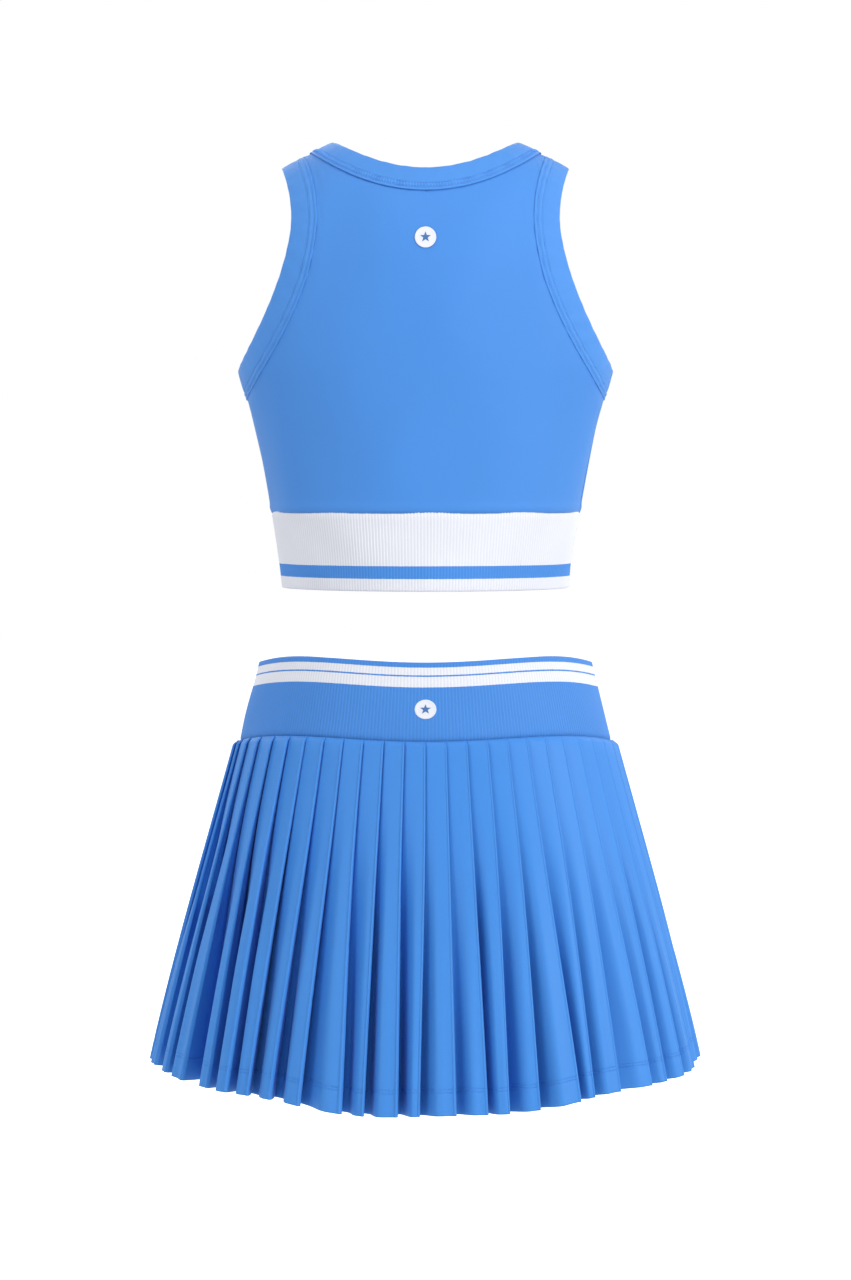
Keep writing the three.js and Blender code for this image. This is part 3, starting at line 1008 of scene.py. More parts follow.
@dataclass
class FoldedBand:
    """A band of folded cloth, sewn over a cut edge of the body with two rows of stitches."""

    name: str
    edge: CutEdge
    stations: int
    proud: float = 1.25
    under: float = 0.65
    stitch_rows: tuple[float, float] = (2.8, 7.2)
    stitch_pitch: float = 2.7
    mirrored: bool = False
    ladder: bool = False
    seed: int = 1

    def face_height(self, from_inner: Array) -> Array:
        """The outer face's height at distances from the band's inner edge.

        Args:
            from_inner: the distances.

        Returns:
            The heights.
        """
        first, second = self.stitch_rows
        groove = sum(np.exp(-(((from_inner - row) / 0.55) ** 2)) for row in self.stitch_rows)
        puff = np.exp(-(((from_inner - (first + second) / 2) / 1.3) ** 2))
        return self.proud - 0.5 * groove + 0.3 * puff

    def outline(self) -> Array:
        """The band's cross-section, as rows of share of the width, distance past it, and height.

        Returns:
            The rows.
        """
        tip = (self.proud + self.under) / 2
        middle = (self.proud - self.under) / 2
        bend = np.linspace(-QUARTER_TURN, QUARTER_TURN, 7)
        fold = [(0.0, tip * (1 - math.cos(b)), middle + tip * math.sin(b)) for b in bend]
        stitched = np.arange(9.0, 0.5, -0.5)
        plain = [(share, 1.5 - share * 11.0, self.proud + 0.15) for share in np.linspace(0.1, 0.9, 6)]
        face = [(1.0, -d, float(self.face_height(d))) for d in stitched]
        lip = 0.45
        lips = [(1.0, -lip + lip * math.cos(b), self.proud - lip + lip * math.sin(b)) for b in -bend]
        below = [(1.0, -3.2, self.proud - 2 * lip), (1.0, -5.0, -self.under), (0.5, 0.0, -self.under)]
        return np.array(fold + plain + face + lips + below)

    def surface(self, share: Array, distance: Array, height: Array) -> Array:
        """Points above the torso, a distance in from the edge.

        Args:
            share: the shares of the way round the edge.
            distance: how far in from it.
            height: how far above the torso.

        Returns:
            The points.
        """
        theta, lift = self.edge.inside(share, distance)
        points = self.edge.form.point(theta, lift) + self.edge.form.normal(theta, lift) * height[..., None]
        return points * np.array([-1, 1, 1]) if self.mirrored else points

    def width(self, share: Array) -> Array:
        """The band's width at shares of the way round."""
        return self.edge.form.band_width(self.edge.at(share)[1])

    def build(self, finish: bpy.types.Material, thread: bpy.types.Material) -> list[bpy.types.Object]:
        """Makes the band and its stitches.

        Args:
            finish: the cloth's material.
            thread: the stitches' material.

        Returns:
            The band and the stitches.
        """
        share = np.arange(self.stations)[:, None] / self.stations
        across, past, height = self.outline().T
        width = self.width(share)
        distance = across * width + past
        centre = self.surface(share, width / 2, np.zeros_like(width))[:, 0]
        step = np.linalg.norm(centre - np.roll(centre, 1, 0), axis=1)
        along = (np.cumsum(step) - step[0])[:, None]
        waves = Ripple(self.seed, (14.0, 40.0))
        pucker = 0.16 * waves.at(along, distance) * smooth(height, 0.2, 0.8)
        points = self.surface(share, distance, height + pucker)
        places = np.stack(np.broadcast_arrays(along, distance), -1)
        cloth = Cloth(np.swapaxes(points, 0, 1), np.swapaxes(places, 0, 1), True, True, self.mirrored)
        piece = Piece(f"{self.name}_cloth", "top", "band_blue", finish, (self.name,))
        band = piece.place(mesh_of(self.name, [cloth]))
        stitches = self.stitch(thread)
        return [band, stitches]

    def stitch(self, thread: bpy.types.Material) -> bpy.types.Object:
        """Makes the rows of stitches, and the threads that cross between them where there is a ladder.

        Args:
            thread: the stitches' material.

        Returns:
            The stitches.
        """
        share = np.linspace(0, 1, 4 * self.stations + 1)
        width = self.width(share)
        lines = []
        for row in self.stitch_rows:
            height = np.full_like(share, self.proud - 0.42)
            points = self.surface(share, width - row, height)
            above = self.surface(share, width - row, height + 1)
            lines.append((points, above - points))
        rows = [dashes(points, normals, self.stitch_pitch) for points, normals in lines]
        if self.ladder:
            rows.append(self.crossings(lines))
        name = f"{self.name}_stitches"
        return Piece(name, "top", "band_blue", thread).place(stitches_mesh(name, rows))

    def crossings(self, lines: list[tuple[Array, Array]]) -> tuple[Array, Array, Array]:
        """Threads that zigzag between the two rows of stitches.

        Args:
            lines: the points and normals of each row of stitches.

        Returns:
            The threads' starts, ends and normals.
        """
        (first, normals), (second, _) = lines
        length = np.linalg.norm(np.diff(first, axis=0), axis=1).sum()
        count = int(length / self.stitch_pitch)
        here = (np.arange(count) / count * (len(first) - 1)).astype(int)
        there = np.minimum(here + (len(first) - 1) // (2 * count), len(first) - 1)
        lifted = normals[here] * 0.55
        return first[here] + lifted, second[there] + lifted, normals[here]


@dataclass
class BodyPanel:
    """The front or the back of the top's body."""

    name: str
    form: DressForm
    armhole: ArmholeEdge
    neck: NeckEdge
    front: bool
    tuck: float = 2.6
    side_rows: int = 8
    armhole_rows: int = 16
    middle_rows: int = 6
    neck_rows: int = 10
    fineness: int = 5
    columns: int = 48
    seed: int = 3

    def beside_band(self, edge: CutEdge, share: Array, level: float) -> tuple[Array, Array]:
        """Where the cloth ends under a band, and the way into it, half square to the band and half level.

        Args:
            edge: the cut edge that the band covers.
            share: the shares of the way round it.
            level: the level part of the way in, as an angle for each millimetre.

        Returns:
            The places, and the ways in.
        """
        reach = self.form.band_width(edge.at(share)[1]) - self.tuck
        place = self.fold(edge.inside(share, reach))
        deeper = self.fold(edge.inside(share, reach + 1))
        into = (deeper - place + np.array([level, 0])) / 2
        return place, into

    @staticmethod
    def fold(place: tuple[Array, Array]) -> Array:
        """The back's place at the same height as a place at the front or the back."""
        theta, lift = place
        return np.stack([theta, np.where(lift > QUARTER_TURN, HALF_TURN - lift, lift)], -1)

    def row_ends(self, row: Array) -> tuple[Array, Array, Array, Array]:
        """For each row, its place at the middle or neckline and at the side or armhole, and both ways in.

        Args:
            row: the rows' numbers.

        Returns:
            The places and ways in at the middle or neckline, then at the side or armhole.
        """
        level = 1 / self.form.cut.ridge_half_width
        past_side = row - self.side_rows
        past_middle = past_side - self.middle_rows
        arm = np.clip(past_side / self.armhole_rows, 0, 1)
        neck = np.clip(past_middle / self.neck_rows, 0, 1)
        side, side_in = self.beside_band(self.armhole, 1 - arm / 2 if self.front else arm / 2, -level)
        middle, middle_in = self.beside_band(self.neck, 0.5 - neck / 4 if self.front else neck / 4, level)
        bottom = self.form.place_round(np.float64(0), self.form.cut.underband_top - 0.5)[1]
        arm_foot, neck_foot = side[row <= self.side_rows][-1, 1], middle[past_middle <= 0][-1, 1]
        up = mix(bottom, arm_foot, np.clip(row / self.side_rows, 0, 1))
        climbed = np.clip(row / self.side_rows, 0, 1)[:, None]
        on_side = (past_side < 0)[:, None]
        side = np.where(on_side, np.stack([np.full_like(up, QUARTER_TURN), up], -1), side)
        side_in = np.where(on_side, mix([-level, 0], side_in, climbed), side_in)
        share = np.clip(past_side / self.middle_rows, 0, 1)
        rise = np.where(past_side < 0, up, mix(arm_foot, neck_foot, share))
        on_middle = (past_middle < 0)[:, None]
        middle = np.where(on_middle, np.stack([np.zeros_like(rise), rise], -1), middle)
        middle_in = np.where(on_middle, mix([level, 0], middle_in, share[:, None]), middle_in)
        return middle, middle_in, side, side_in

    def relief(self, across: Array, down: Array, u: Array, row: Array, reach: Array) -> Array:
        """How far the cloth stands off the torso: soft folds, and puckers where it is sewn.

        Args:
            across: the distances round the body.
            down: the distances along its height.
            u: the shares of the way across.
            row: the rows' numbers.
            reach: the rows' widths.

        Returns:
            The heights.
        """
        broad = 0.9 * Ripple(self.seed, (95.0, 260.0)).at(across, down)
        arm_row, neck_row = self.side_rows, self.side_rows + self.middle_rows
        below_arm = np.maximum(down[row[:, 0] >= arm_row][0, -1] - down, 0) * (row < arm_row)
        below_neck = np.maximum(down[row[:, 0] >= neck_row][0, 0] - down, 0) * (row < neck_row)
        from_side = (1 - u) * reach
        from_arm = np.hypot(from_side, below_arm)
        from_neck = np.hypot(u * reach, below_neck)
        from_foot = down - down.min()
        fine = Ripple(self.seed + 1, (13.0, 13.0))
        sewn = np.exp(-from_arm / 8) + np.exp(-from_neck / 8)
        pucker = 0.22 * fine.at(across + down, down - across) * sewn
        foot = 0.14 * Ripple(self.seed + 2, (9.0, 60.0)).at(across, down) * np.exp(-from_foot / 9)
        roll = 0.7 * np.exp(-(((from_foot - 4.5) / 3.0) ** 2)) - 0.3 * np.exp(-from_foot / 1.2)
        seam = -0.75 * np.exp(-from_side / 1.6) * (row <= arm_row)
        under_band = -0.35 * (np.exp(-((from_arm / 3.0) ** 2)) + np.exp(-((from_neck / 3.0) ** 2)))
        quiet = smooth(from_arm, 0, 25) * smooth(from_neck, 0, 25)
        return broad * quiet + pucker + foot + roll + seam + under_band

    def half(self, side: int) -> Cloth:
        """The half of the panel on one side of the body.

        Args:
            side: 1 or -1, for which half it is.

        Returns:
            The half, as a grid.
        """
        rows = (self.side_rows + self.armhole_rows) * self.fineness
        row = np.linspace(0, self.side_rows + self.armhole_rows, rows + 1)
        u = np.linspace(0, 1, self.columns + 1)
        start, start_in, end, end_in = self.row_ends(row)
        reach = np.linalg.norm(self.form.point(*start.T) - self.form.point(*end.T), axis=-1)[:, None]
        t = u[None, :, None]
        turning = start_in[:, None] * t * (1 - t) ** 2 + end_in[:, None] * t * t * (1 - t)
        leaving = reach[..., None] * turning
        place = start[:, None] * (1 - t) ** 2 * (1 + 2 * t) + end[:, None] * t * t * (3 - 2 * t) + leaving
        theta = np.minimum(place[..., 0], QUARTER_TURN)
        lift = np.minimum(place[..., 1], QUARTER_TURN - 1e-3)
        if self.front:
            lift = HALF_TURN - lift
        theta = theta * side
        across = theta * self.form.cut.ridge_half_width
        down = (HALF_TURN - lift if self.front else lift) * self.form.cut.rise_below
        height = self.relief(across, down, u[None], row[:, None], reach)
        points = self.form.point(theta, lift) + self.form.normal(theta, lift) * height[..., None]
        return Cloth(points, np.stack([across, down], -1), flipped=(side > 0) == self.front)

    def build(self, finish: bpy.types.Material) -> bpy.types.Object:
        """Makes the panel.

        Args:
            finish: the cloth's material.

        Returns:
            The panel.
        """
        halves = [self.half(side) for side in (1, -1)]
        mesh = mesh_of(self.name, halves)
        merge_close(mesh)
        piece = Piece(f"{self.name}_cloth", "top", "knit_blue", finish, (self.name,))
        panel = piece.place(mesh, self.form.cut.cloth)
        width, length, area = halves[0].flat_size()
        return panel


@dataclass
class RibBand:
    """A rib-knit band round the body, with the ribs standing on its outer face."""

    name: str
    body: str
    slot: str
    surface: Callable[[Array, Array], Array]
    height: float
    ribs: int
    pitch: float
    inner: float
    outer: float
    relief: float = 0.22
    per_rib: int = 4
    rows: int = 22
    dip: float = 0.0
    tail: float = 0.0
    tail_slope: float = 0.3
    seed: int = 5

    def build(self, finish: bpy.types.Material) -> bpy.types.Object:
        """Makes the band.

        Args:
            finish: the rib's material.

        Returns:
            The band.
        """
        columns = self.ribs * self.per_rib
        turn = np.arange(columns) / columns * FULL_TURN
        radius = (self.outer - self.inner) / 2
        middle = (self.outer + self.inner) / 2
        bend = np.linspace(QUARTER_TURN, -QUARTER_TURN, 5)
        ends = 1.0 + radius * 1.2
        length = self.height + self.tail
        face = np.linspace(ends, length - ends, self.rows)
        first = ends - 1.2 * radius * np.cos(bend[::-1]) - 1.0
        last = length - ends + 1.2 * radius * np.cos(bend) + 1.0
        lining = face[::-4]
        down = np.concatenate([first, face, last, lining])
        high = np.concatenate([middle + radius * np.sin(bend[::-1]), np.full(len(face), self.outer)])
        high = np.concatenate([high, middle + radius * np.sin(bend), np.full(len(lining), self.inner)])
        share = down[:, None] / self.height
        around = np.broadcast_to(turn[None], (len(down), columns))
        share = np.broadcast_to(share, around.shape)
        on_face = smooth(high, middle, self.outer)[:, None]
        rib = self.relief * np.cos(around * self.ribs)
        soft = 0.6 * Ripple(self.seed, (1.6, 1.6)).at(2 * np.cos(around) + share, 2 * np.sin(around))
        held = np.sin(np.clip(share, 0, 1) * HALF_TURN)
        dip = -self.dip * smooth(down, self.height - 4, self.height)[:, None]
        tucked_in = -self.tail_slope * np.maximum(down - self.height, 0)[:, None]
        height = high[:, None] + rib * on_face + soft * held + dip + tucked_in
        normals = outward_normals(self.surface, around, share)
        points = self.surface(around, share) + normals * height[..., None]
        ribs_passed = around / FULL_TURN * self.ribs
        places = np.stack(np.broadcast_arrays(ribs_passed * self.pitch, down[:, None]), -1)
        cloth = Cloth(points, places, closed_rows=True, closed_columns=True)
        piece = Piece(f"{self.name}_cloth", self.body, self.slot, finish, (self.name,))
        band = piece.place(mesh_of(self.name, [cloth]))
        return band


class Top:
    """The cropped top: two panels, a neckband, two armhole bands and a rib underband."""

    def __init__(self) -> None:
        """Sets out the form and its cut edges."""
        self.cut = TopSizes()
        self.form = DressForm(self.cut)
        self.armhole = ArmholeEdge(self.form)
        self.neck = NeckEdge(self.form)

    def underband_surface(self, turn: Array, share: Array) -> Array:
        """The torso inside the underband, share 0 at the band's lower edge.

        Args:
            turn: the angles round the body.
            share: the shares of the way up the band.

        Returns:
            The points.
        """
        turn = np.mod(turn, FULL_TURN)
        front = np.cos(turn) < 0
        z = mix(self.cut.hem_height, self.cut.underband_top + 2.0, share)
        theta, lift = self.form.place_round(np.where(front, HALF_TURN - turn, turn), z)
        return self.form.point(theta, np.where(front, HALF_TURN - lift, lift))

    def badge_surface(self, x: Array, up: Array) -> Array:
        """The back of the torso about the badge, by distances across and up."""
        height = self.cut.ridge_top - self.cut.neck_drop[0] - Badge.below_neck
        return self.form.point(*self.form.place_at(x, height + up))

    def build(self, paint: Finishes) -> list[bpy.types.Object]:
        """Makes the whole top.

        Args:
            paint: the materials.

        Returns:
            The pieces.
        """
        pieces = []
        for name, front, seed in (("top_back_panel", False, 3), ("top_front_panel", True, 23)):
            panel = BodyPanel(name, self.form, self.armhole, self.neck, front, seed=seed)
            pieces.append(panel.build(paint.knit))
        neckband = FoldedBand("neckband", self.neck, 220, proud=1.9, ladder=True, seed=31)
        pieces += neckband.build(paint.band, paint.thread)
        for name, mirrored, seed in (("armhole_band_left", False, 41), ("armhole_band_right", True, 43)):
            band = FoldedBand(name, self.armhole, 240, mirrored=mirrored, seed=seed)
            pieces += band.build(paint.band, paint.thread)
        underband = RibBand(
            "underband", "top", "rib_white", self.underband_surface, self.cut.underband_height + 2.0,
            ribs=300, pitch=2.4, inner=-0.95, outer=0.85, dip=1.4,
        )
        pieces.append(underband.build(paint.rib_white))
        return pieces


# ----------------------------------------------------------------------------------------------------
# The skirt
# ----------------------------------------------------------------------------------------------------
@dataclass
class SkirtSizes:
    """The skirt's cut. A place on it is a turn, counter-clockwise from the back as seen from above."""

    waist: tuple[float, float] = (142.7, 105.0)
    waist_tilt: float = 0.045
    waist_dip: float = 10.0
    waistband_height: float = 70.0
    seam: tuple[float, float] = (159.0, 112.0)
    seam_tilt: float = 0.113
    hem: tuple[float, float] = (226.0, 192.0)
    sections: int = 26
    pleats_per_section: int = 2
    pleat_length: float = 291.0
    side_shortening: float = 11.0
    swell: float = 3.0
    pleat_step: float = 3.6
    hinge_gap: float = 1.6
    waist_wave: float = 4.0
    seam_wave: float = 4.5

    @property
    def pleats(self) -> int:
        """How many pleats go round."""
        return self.sections * self.pleats_per_section


class SkirtForm:
    """The surfaces that the skirt's pieces lie on."""

    def __init__(self, cut: SkirtSizes) -> None:
        """Measures the way round the pleat seam.

        Args:
            cut: the skirt's sizes.
        """
        self.cut = cut
        turns = np.linspace(0, FULL_TURN, 4001)
        ring = self.oval(*cut.seam, turns)
        self.turns = turns
        self.passed = np.concatenate([[0], np.cumsum(np.linalg.norm(np.diff(ring, axis=0), axis=1))])
        self.passed /= self.passed[-1]

    @staticmethod
    def oval(width: Array | float, depth: Array | float, turn: Array) -> Array:
        """Points of an oval, level with the waist."""
        x, y = -width * np.sin(turn), depth * np.cos(turn)
        return np.stack(np.broadcast_arrays(x, y, 0.0 * x), -1)

    def seam_height(self, turn: Array) -> Array:
        """The height of the seam between the waistband and the pleats.

        Args:
            turn: the angles round the body.

        Returns:
            The heights.
        """
        y = self.cut.seam[1] * np.cos(turn)
        wave = self.cut.seam_wave * np.sin(2 * turn) ** 2
        return self.cut.seam_tilt * y - self.cut.waistband_height + wave

    def waistband(self, turn: Array, down: Array) -> Array:
        """The waistband's surface, from the waist opening down to the seam.

        Args:
            turn: the angles round the body.
            down: the shares of the way down.

        Returns:
            The points.
        """
        cut = self.cut
        spread = np.minimum(down, 1)
        width, depth = (mix(waist, seam, spread) for waist, seam in zip(cut.waist, cut.seam))
        point = self.oval(width, depth, turn)
        wave = cut.waist_wave * np.sin(2 * turn) ** 2 - 0.75 * cut.waist_wave * np.sin(turn) ** 8
        top = cut.waist_tilt * point[..., 1] + wave - cut.waist_dip * np.maximum(-np.cos(turn), 0) ** 2
        point[..., 2] = mix(top, self.seam_height(turn), down)
        return point

    def pleat_ground(self, turn: Array, down: Array) -> Array:
        """The middle of the pleated cloth's depth, from the seam down to the hem.

        Args:
            turn: the angles round the body.
            down: the shares of the way down.

        Returns:
            The points.
        """
        cut = self.cut
        seam = self.oval(cut.seam[0] + cut.pleat_step, cut.seam[1] + cut.pleat_step, turn)
        hem = self.oval(*cut.hem, turn)
        length = cut.pleat_length - cut.side_shortening * np.sin(turn) ** 2
        fall = np.sqrt(length**2 - ((hem - seam) ** 2).sum(-1))
        seam[..., 2] = self.seam_height(turn) - cut.hinge_gap
        hem[..., 2] = seam[..., 2] - fall
        swell = cut.swell * np.sin(down * HALF_TURN)
        return mix(seam, hem, down[..., None]) + self.outward(turn) * swell[..., None]

    def turn_at(self, pleat: Array) -> Array:
        """The turn at which a number of pleats, evenly spaced along the seam, has been passed."""
        whole = np.floor(pleat / self.cut.pleats)
        return FULL_TURN * whole + np.interp(pleat / self.cut.pleats - whole, self.passed, self.turns)

    def outward(self, turn: Array) -> Array:
        """The level way out of the skirt."""
        return unit(self.oval(1 / self.cut.seam[0], 1 / self.cut.seam[1], turn))


@dataclass
class PleatedCloth:
    """The knife-pleated cloth, in sections that each hang from the seam.

    Across a pleat, q runs over what shows of a face, from 0 beside the fold before to 1 at its own fold.
    The heights are shares of the pleat's width at that level. Pairs are the values at the seam and the hem.
    Behind a fold, the cloth turns back under its face and then lies flat: each of those steps is a share of
    the fold's width and a share of the way down to the hollow.
    """

    form: SkirtForm
    fold: tuple[float, float] = (0.17, 0.36)
    underlay: tuple[float, float] = (0.22, 1.55)
    proud: tuple[float, float] = (0.15, 0.30)
    hollow: tuple[float, float] = (0.07, 0.52)
    drift: float = 0.26
    cloth: float = 0.8
    hem_allowance: float = 20.0
    hem_rows: tuple[float, float] = (0.0, 2.4)
    lip: float = 1.6
    clearance: float = 0.09
    turned_back: tuple[tuple[float, float], ...] = ((0.03, 0.10), (0.35, 0.55), (0.8, 0.95))
    laid_flat: tuple[tuple[float, float], ...] = ((1.0, 1.0), (0.75, 1.02), (0.3, 1.0))
    hidden: tuple[float, ...] = (1.0, 0.85, 0.7, 0.55, 0.4, 0.25, 0.1)
    uneven: Array = field(default_factory=lambda: np.random.default_rng(11).uniform(-1, 1, (6, 52)))

    def levels(self) -> Array:
        """The shares of the way down at which the cloth is laid.

        Returns:
            The shares.
        """
        length = self.form.cut.pleat_length
        stitched = length - self.hem_allowance
        upper = np.linspace(4.0, stitched - 5, 30)
        stitches = stitched + np.array([-3.0, -1.2, -0.6, 0, 0.6, 1.2, 1.8, 2.4, 3.0, 3.6, 5.5])
        hem = length - np.array([11.0, 7.0, 3.5, 1.2, 0.0])
        return np.concatenate([[0, 1.2, 2.4], upper, stitches, hem]) / length

    def character(self, trait: int, pleat: Array) -> Array:
        """How one pleat differs from the others, from -1 to 1."""
        return self.uneven[trait][np.mod(pleat, self.form.cut.pleats).astype(int)]

    def drifted(self, fold: Array, down: Array) -> Array:
        """Where a fold has moved to, in pleats."""
        return fold + self.drift * self.character(0, fold) * smooth(down, 0.15, 1.1)

    def depth(self, pleat: Array, down: Array) -> Array:
        """How deep the hollow beside a fold is."""
        opening = smooth(down, 0.0, 0.95)
        return mix(*self.hollow, opening) * (1 + 0.5 * self.character(1, pleat))

    def crest(self, pleat: Array, down: Array) -> Array:
        """How proud a pleat's own fold is."""
        return mix(*self.proud, smooth(down, 0, 1)) * (1 + 0.25 * self.character(2, pleat) * down)

    def face(self, pleat: Array, q: Array, down: Array) -> Array:
        """The height of what shows of a pleat's face.

        Args:
            pleat: the pleats' numbers.
            q: the places across the face.
            down: the shares of the way down.

        Returns:
            The heights.
        """
        reach = 0.62 + 0.25 * self.character(3, pleat)
        rise = smooth(q / reach)
        low, high = -self.depth(pleat, down), self.crest(pleat, down)
        belly = 0.05 * np.sin(q * HALF_TURN) * smooth(down, 0.4, 1) * self.character(4, pleat)
        soft = 0.035 * np.sin(q * 9.5 + 4 * self.character(5, pleat)) * smooth(down, 0.45, 1)
        flat = mix(low, high, 0.3 + 0.7 * q)
        sharp = mix(low, high, rise)
        pressed = 0.035 * np.exp(-(((q - 0.95) / 0.025) ** 2)) - 0.07 * smooth(q, 0.96, 1.0)
        return mix(flat, sharp, smooth(down, 0.1, 0.7)) + (belly + soft) * np.sin(q * HALF_TURN) + pressed

    def lines(self, first: int, down: Array) -> tuple[Array, Array]:
        """The cross-section of one section at each level, as pleat numbers and heights.

        Args:
            first: the number of pleats before the section.
            down: the levels, one row each.

        Returns:
            Where each point is in pleats, and its height as a share of the pleat's width.
        """
        fold, underlay = mix(*self.fold, down), mix(*self.underlay, down)
        shown = np.concatenate([np.linspace(0, 0.86, 15), np.linspace(0.9, 1.0, 8)])
        places, heights = [], []
        count = self.form.cut.pleats_per_section
        for pleat in range(first, first + count):
            start, end = self.drifted(pleat, down), self.drifted(pleat + 1, down)
            low = -self.depth(pleat, down)
            if pleat == first:
                span = start - self.drifted(pleat - 1, down)
                for hidden in self.hidden:
                    reach = underlay * hidden
                    under = self.face(pleat - 1, np.maximum(1 - reach / span, 0), down)
                    places.append(start - reach)
                    heights.append(np.minimum(low - 0.03, under) - self.clearance * smooth(hidden, 0, 0.25))
            else:
                edge = self.crest(pleat - 1, down)
                for back, sink in self.turned_back + self.laid_flat:
                    places.append(start - fold * back)
                    heights.append(mix(edge, low, sink))
            for q in shown:
                places.append(mix(start, end, q))
                heights.append(self.face(pleat, np.full_like(down, q), down))
        edge, low = self.crest(pleat, down), -self.depth(pleat + 1, down)
        for back, sink in self.turned_back:
            places.append(end - fold * back)
            heights.append(mix(edge, low, sink))
        return np.concatenate(places, 1), np.concatenate(heights, 1)

    def section(self, number: int) -> Cloth:
        """One section's cloth.

        Args:
            number: the section's number, from 0.

        Returns:
            The cloth, as a grid.
        """
        down = self.levels()[:, None]
        first = number * self.form.cut.pleats_per_section
        place, height = self.lines(first, down)
        level = np.broadcast_to(down, place.shape)
        turn = self.form.turn_at(place)
        ground = self.form.pleat_ground(turn, level)
        width = np.linalg.norm(ground - self.form.pleat_ground(self.form.turn_at(place - 1), level), axis=-1)
        length = self.form.cut.pleat_length
        from_hem = length * (1 - level)
        rows = [from_hem - self.hem_allowance + row for row in self.hem_rows]
        grooves = sum(np.exp(-((from_row / 0.5) ** 2)) for from_row in rows)
        turned_in = 1 - smooth(level * length, 0, 3.5)
        rise = height * width * (1 - 0.5 * turned_in) - self.lip * turned_in - 0.3 * grooves
        out = self.form.outward(turn)
        points = ground + out * rise[..., None]
        wander = 1.2 * np.sin(place * FULL_TURN / self.form.cut.pleats * 9 + 1.0)
        points[..., 2] += smooth(level, 0.6, 1.0) * (wander + 0.2 * rise)
        steps = np.linalg.norm(np.diff(points, axis=1), axis=-1)
        across = np.cumsum(np.concatenate([np.zeros((len(down), 1)), steps], 1), 1)
        return Cloth(points, np.stack([across, level * length], -1))

    def stitches(self, cloth: Cloth, number: int, thread: bpy.types.Material) -> bpy.types.Object:
        """The two rows of stitches above the hem of a section.

        Args:
            cloth: the section's cloth.
            number: its number, from 0.
            thread: the stitches' material.

        Returns:
            The stitches.
        """
        level = self.levels() * self.form.cut.pleat_length
        rows = []
        shown = slice(5, -2)
        stitched = self.form.cut.pleat_length - self.hem_allowance
        for row in self.hem_rows:
            nearest = int(np.argmin(np.abs(level - (stitched + row))))
            line = cloth.points[nearest, shown]
            along = np.gradient(line, axis=0)
            down = cloth.points[nearest + 1, shown] - cloth.points[nearest - 1, shown]
            normals = unit(np.cross(down, along))
            rows.append(dashes(line + normals * (self.cloth / 2 + 0.05), normals, 2.6))
        name = f"pleat_stitches_{number + 1:02d}"
        return Piece(name, f"pleats_{number + 1:02d}", "pleat_blue", thread).place(stitches_mesh(name, rows))

    def build(self, finish: bpy.types.Material, thread: bpy.types.Material) -> list[bpy.types.Object]:
        """Makes every section and its hem stitches.

        Args:
            finish: the cloth's material.
            thread: the stitches' material.

        Returns:
            The pieces.
        """
        pieces = []
        for number in range(self.form.cut.sections):
            label = f"{number + 1:02d}"
            name = f"pleat_section_{label}"
            cloth = self.section(number)
            piece = Piece(f"pleated_cloth_{label}", f"pleats_{label}", "pleat_blue", finish, (name,))
            section = piece.place(mesh_of(name, [cloth]), self.cloth)
            stitches = self.stitches(cloth, number, thread)
            width, length, area = cloth.flat_size()
            pieces += [section, stitches]
        return pieces


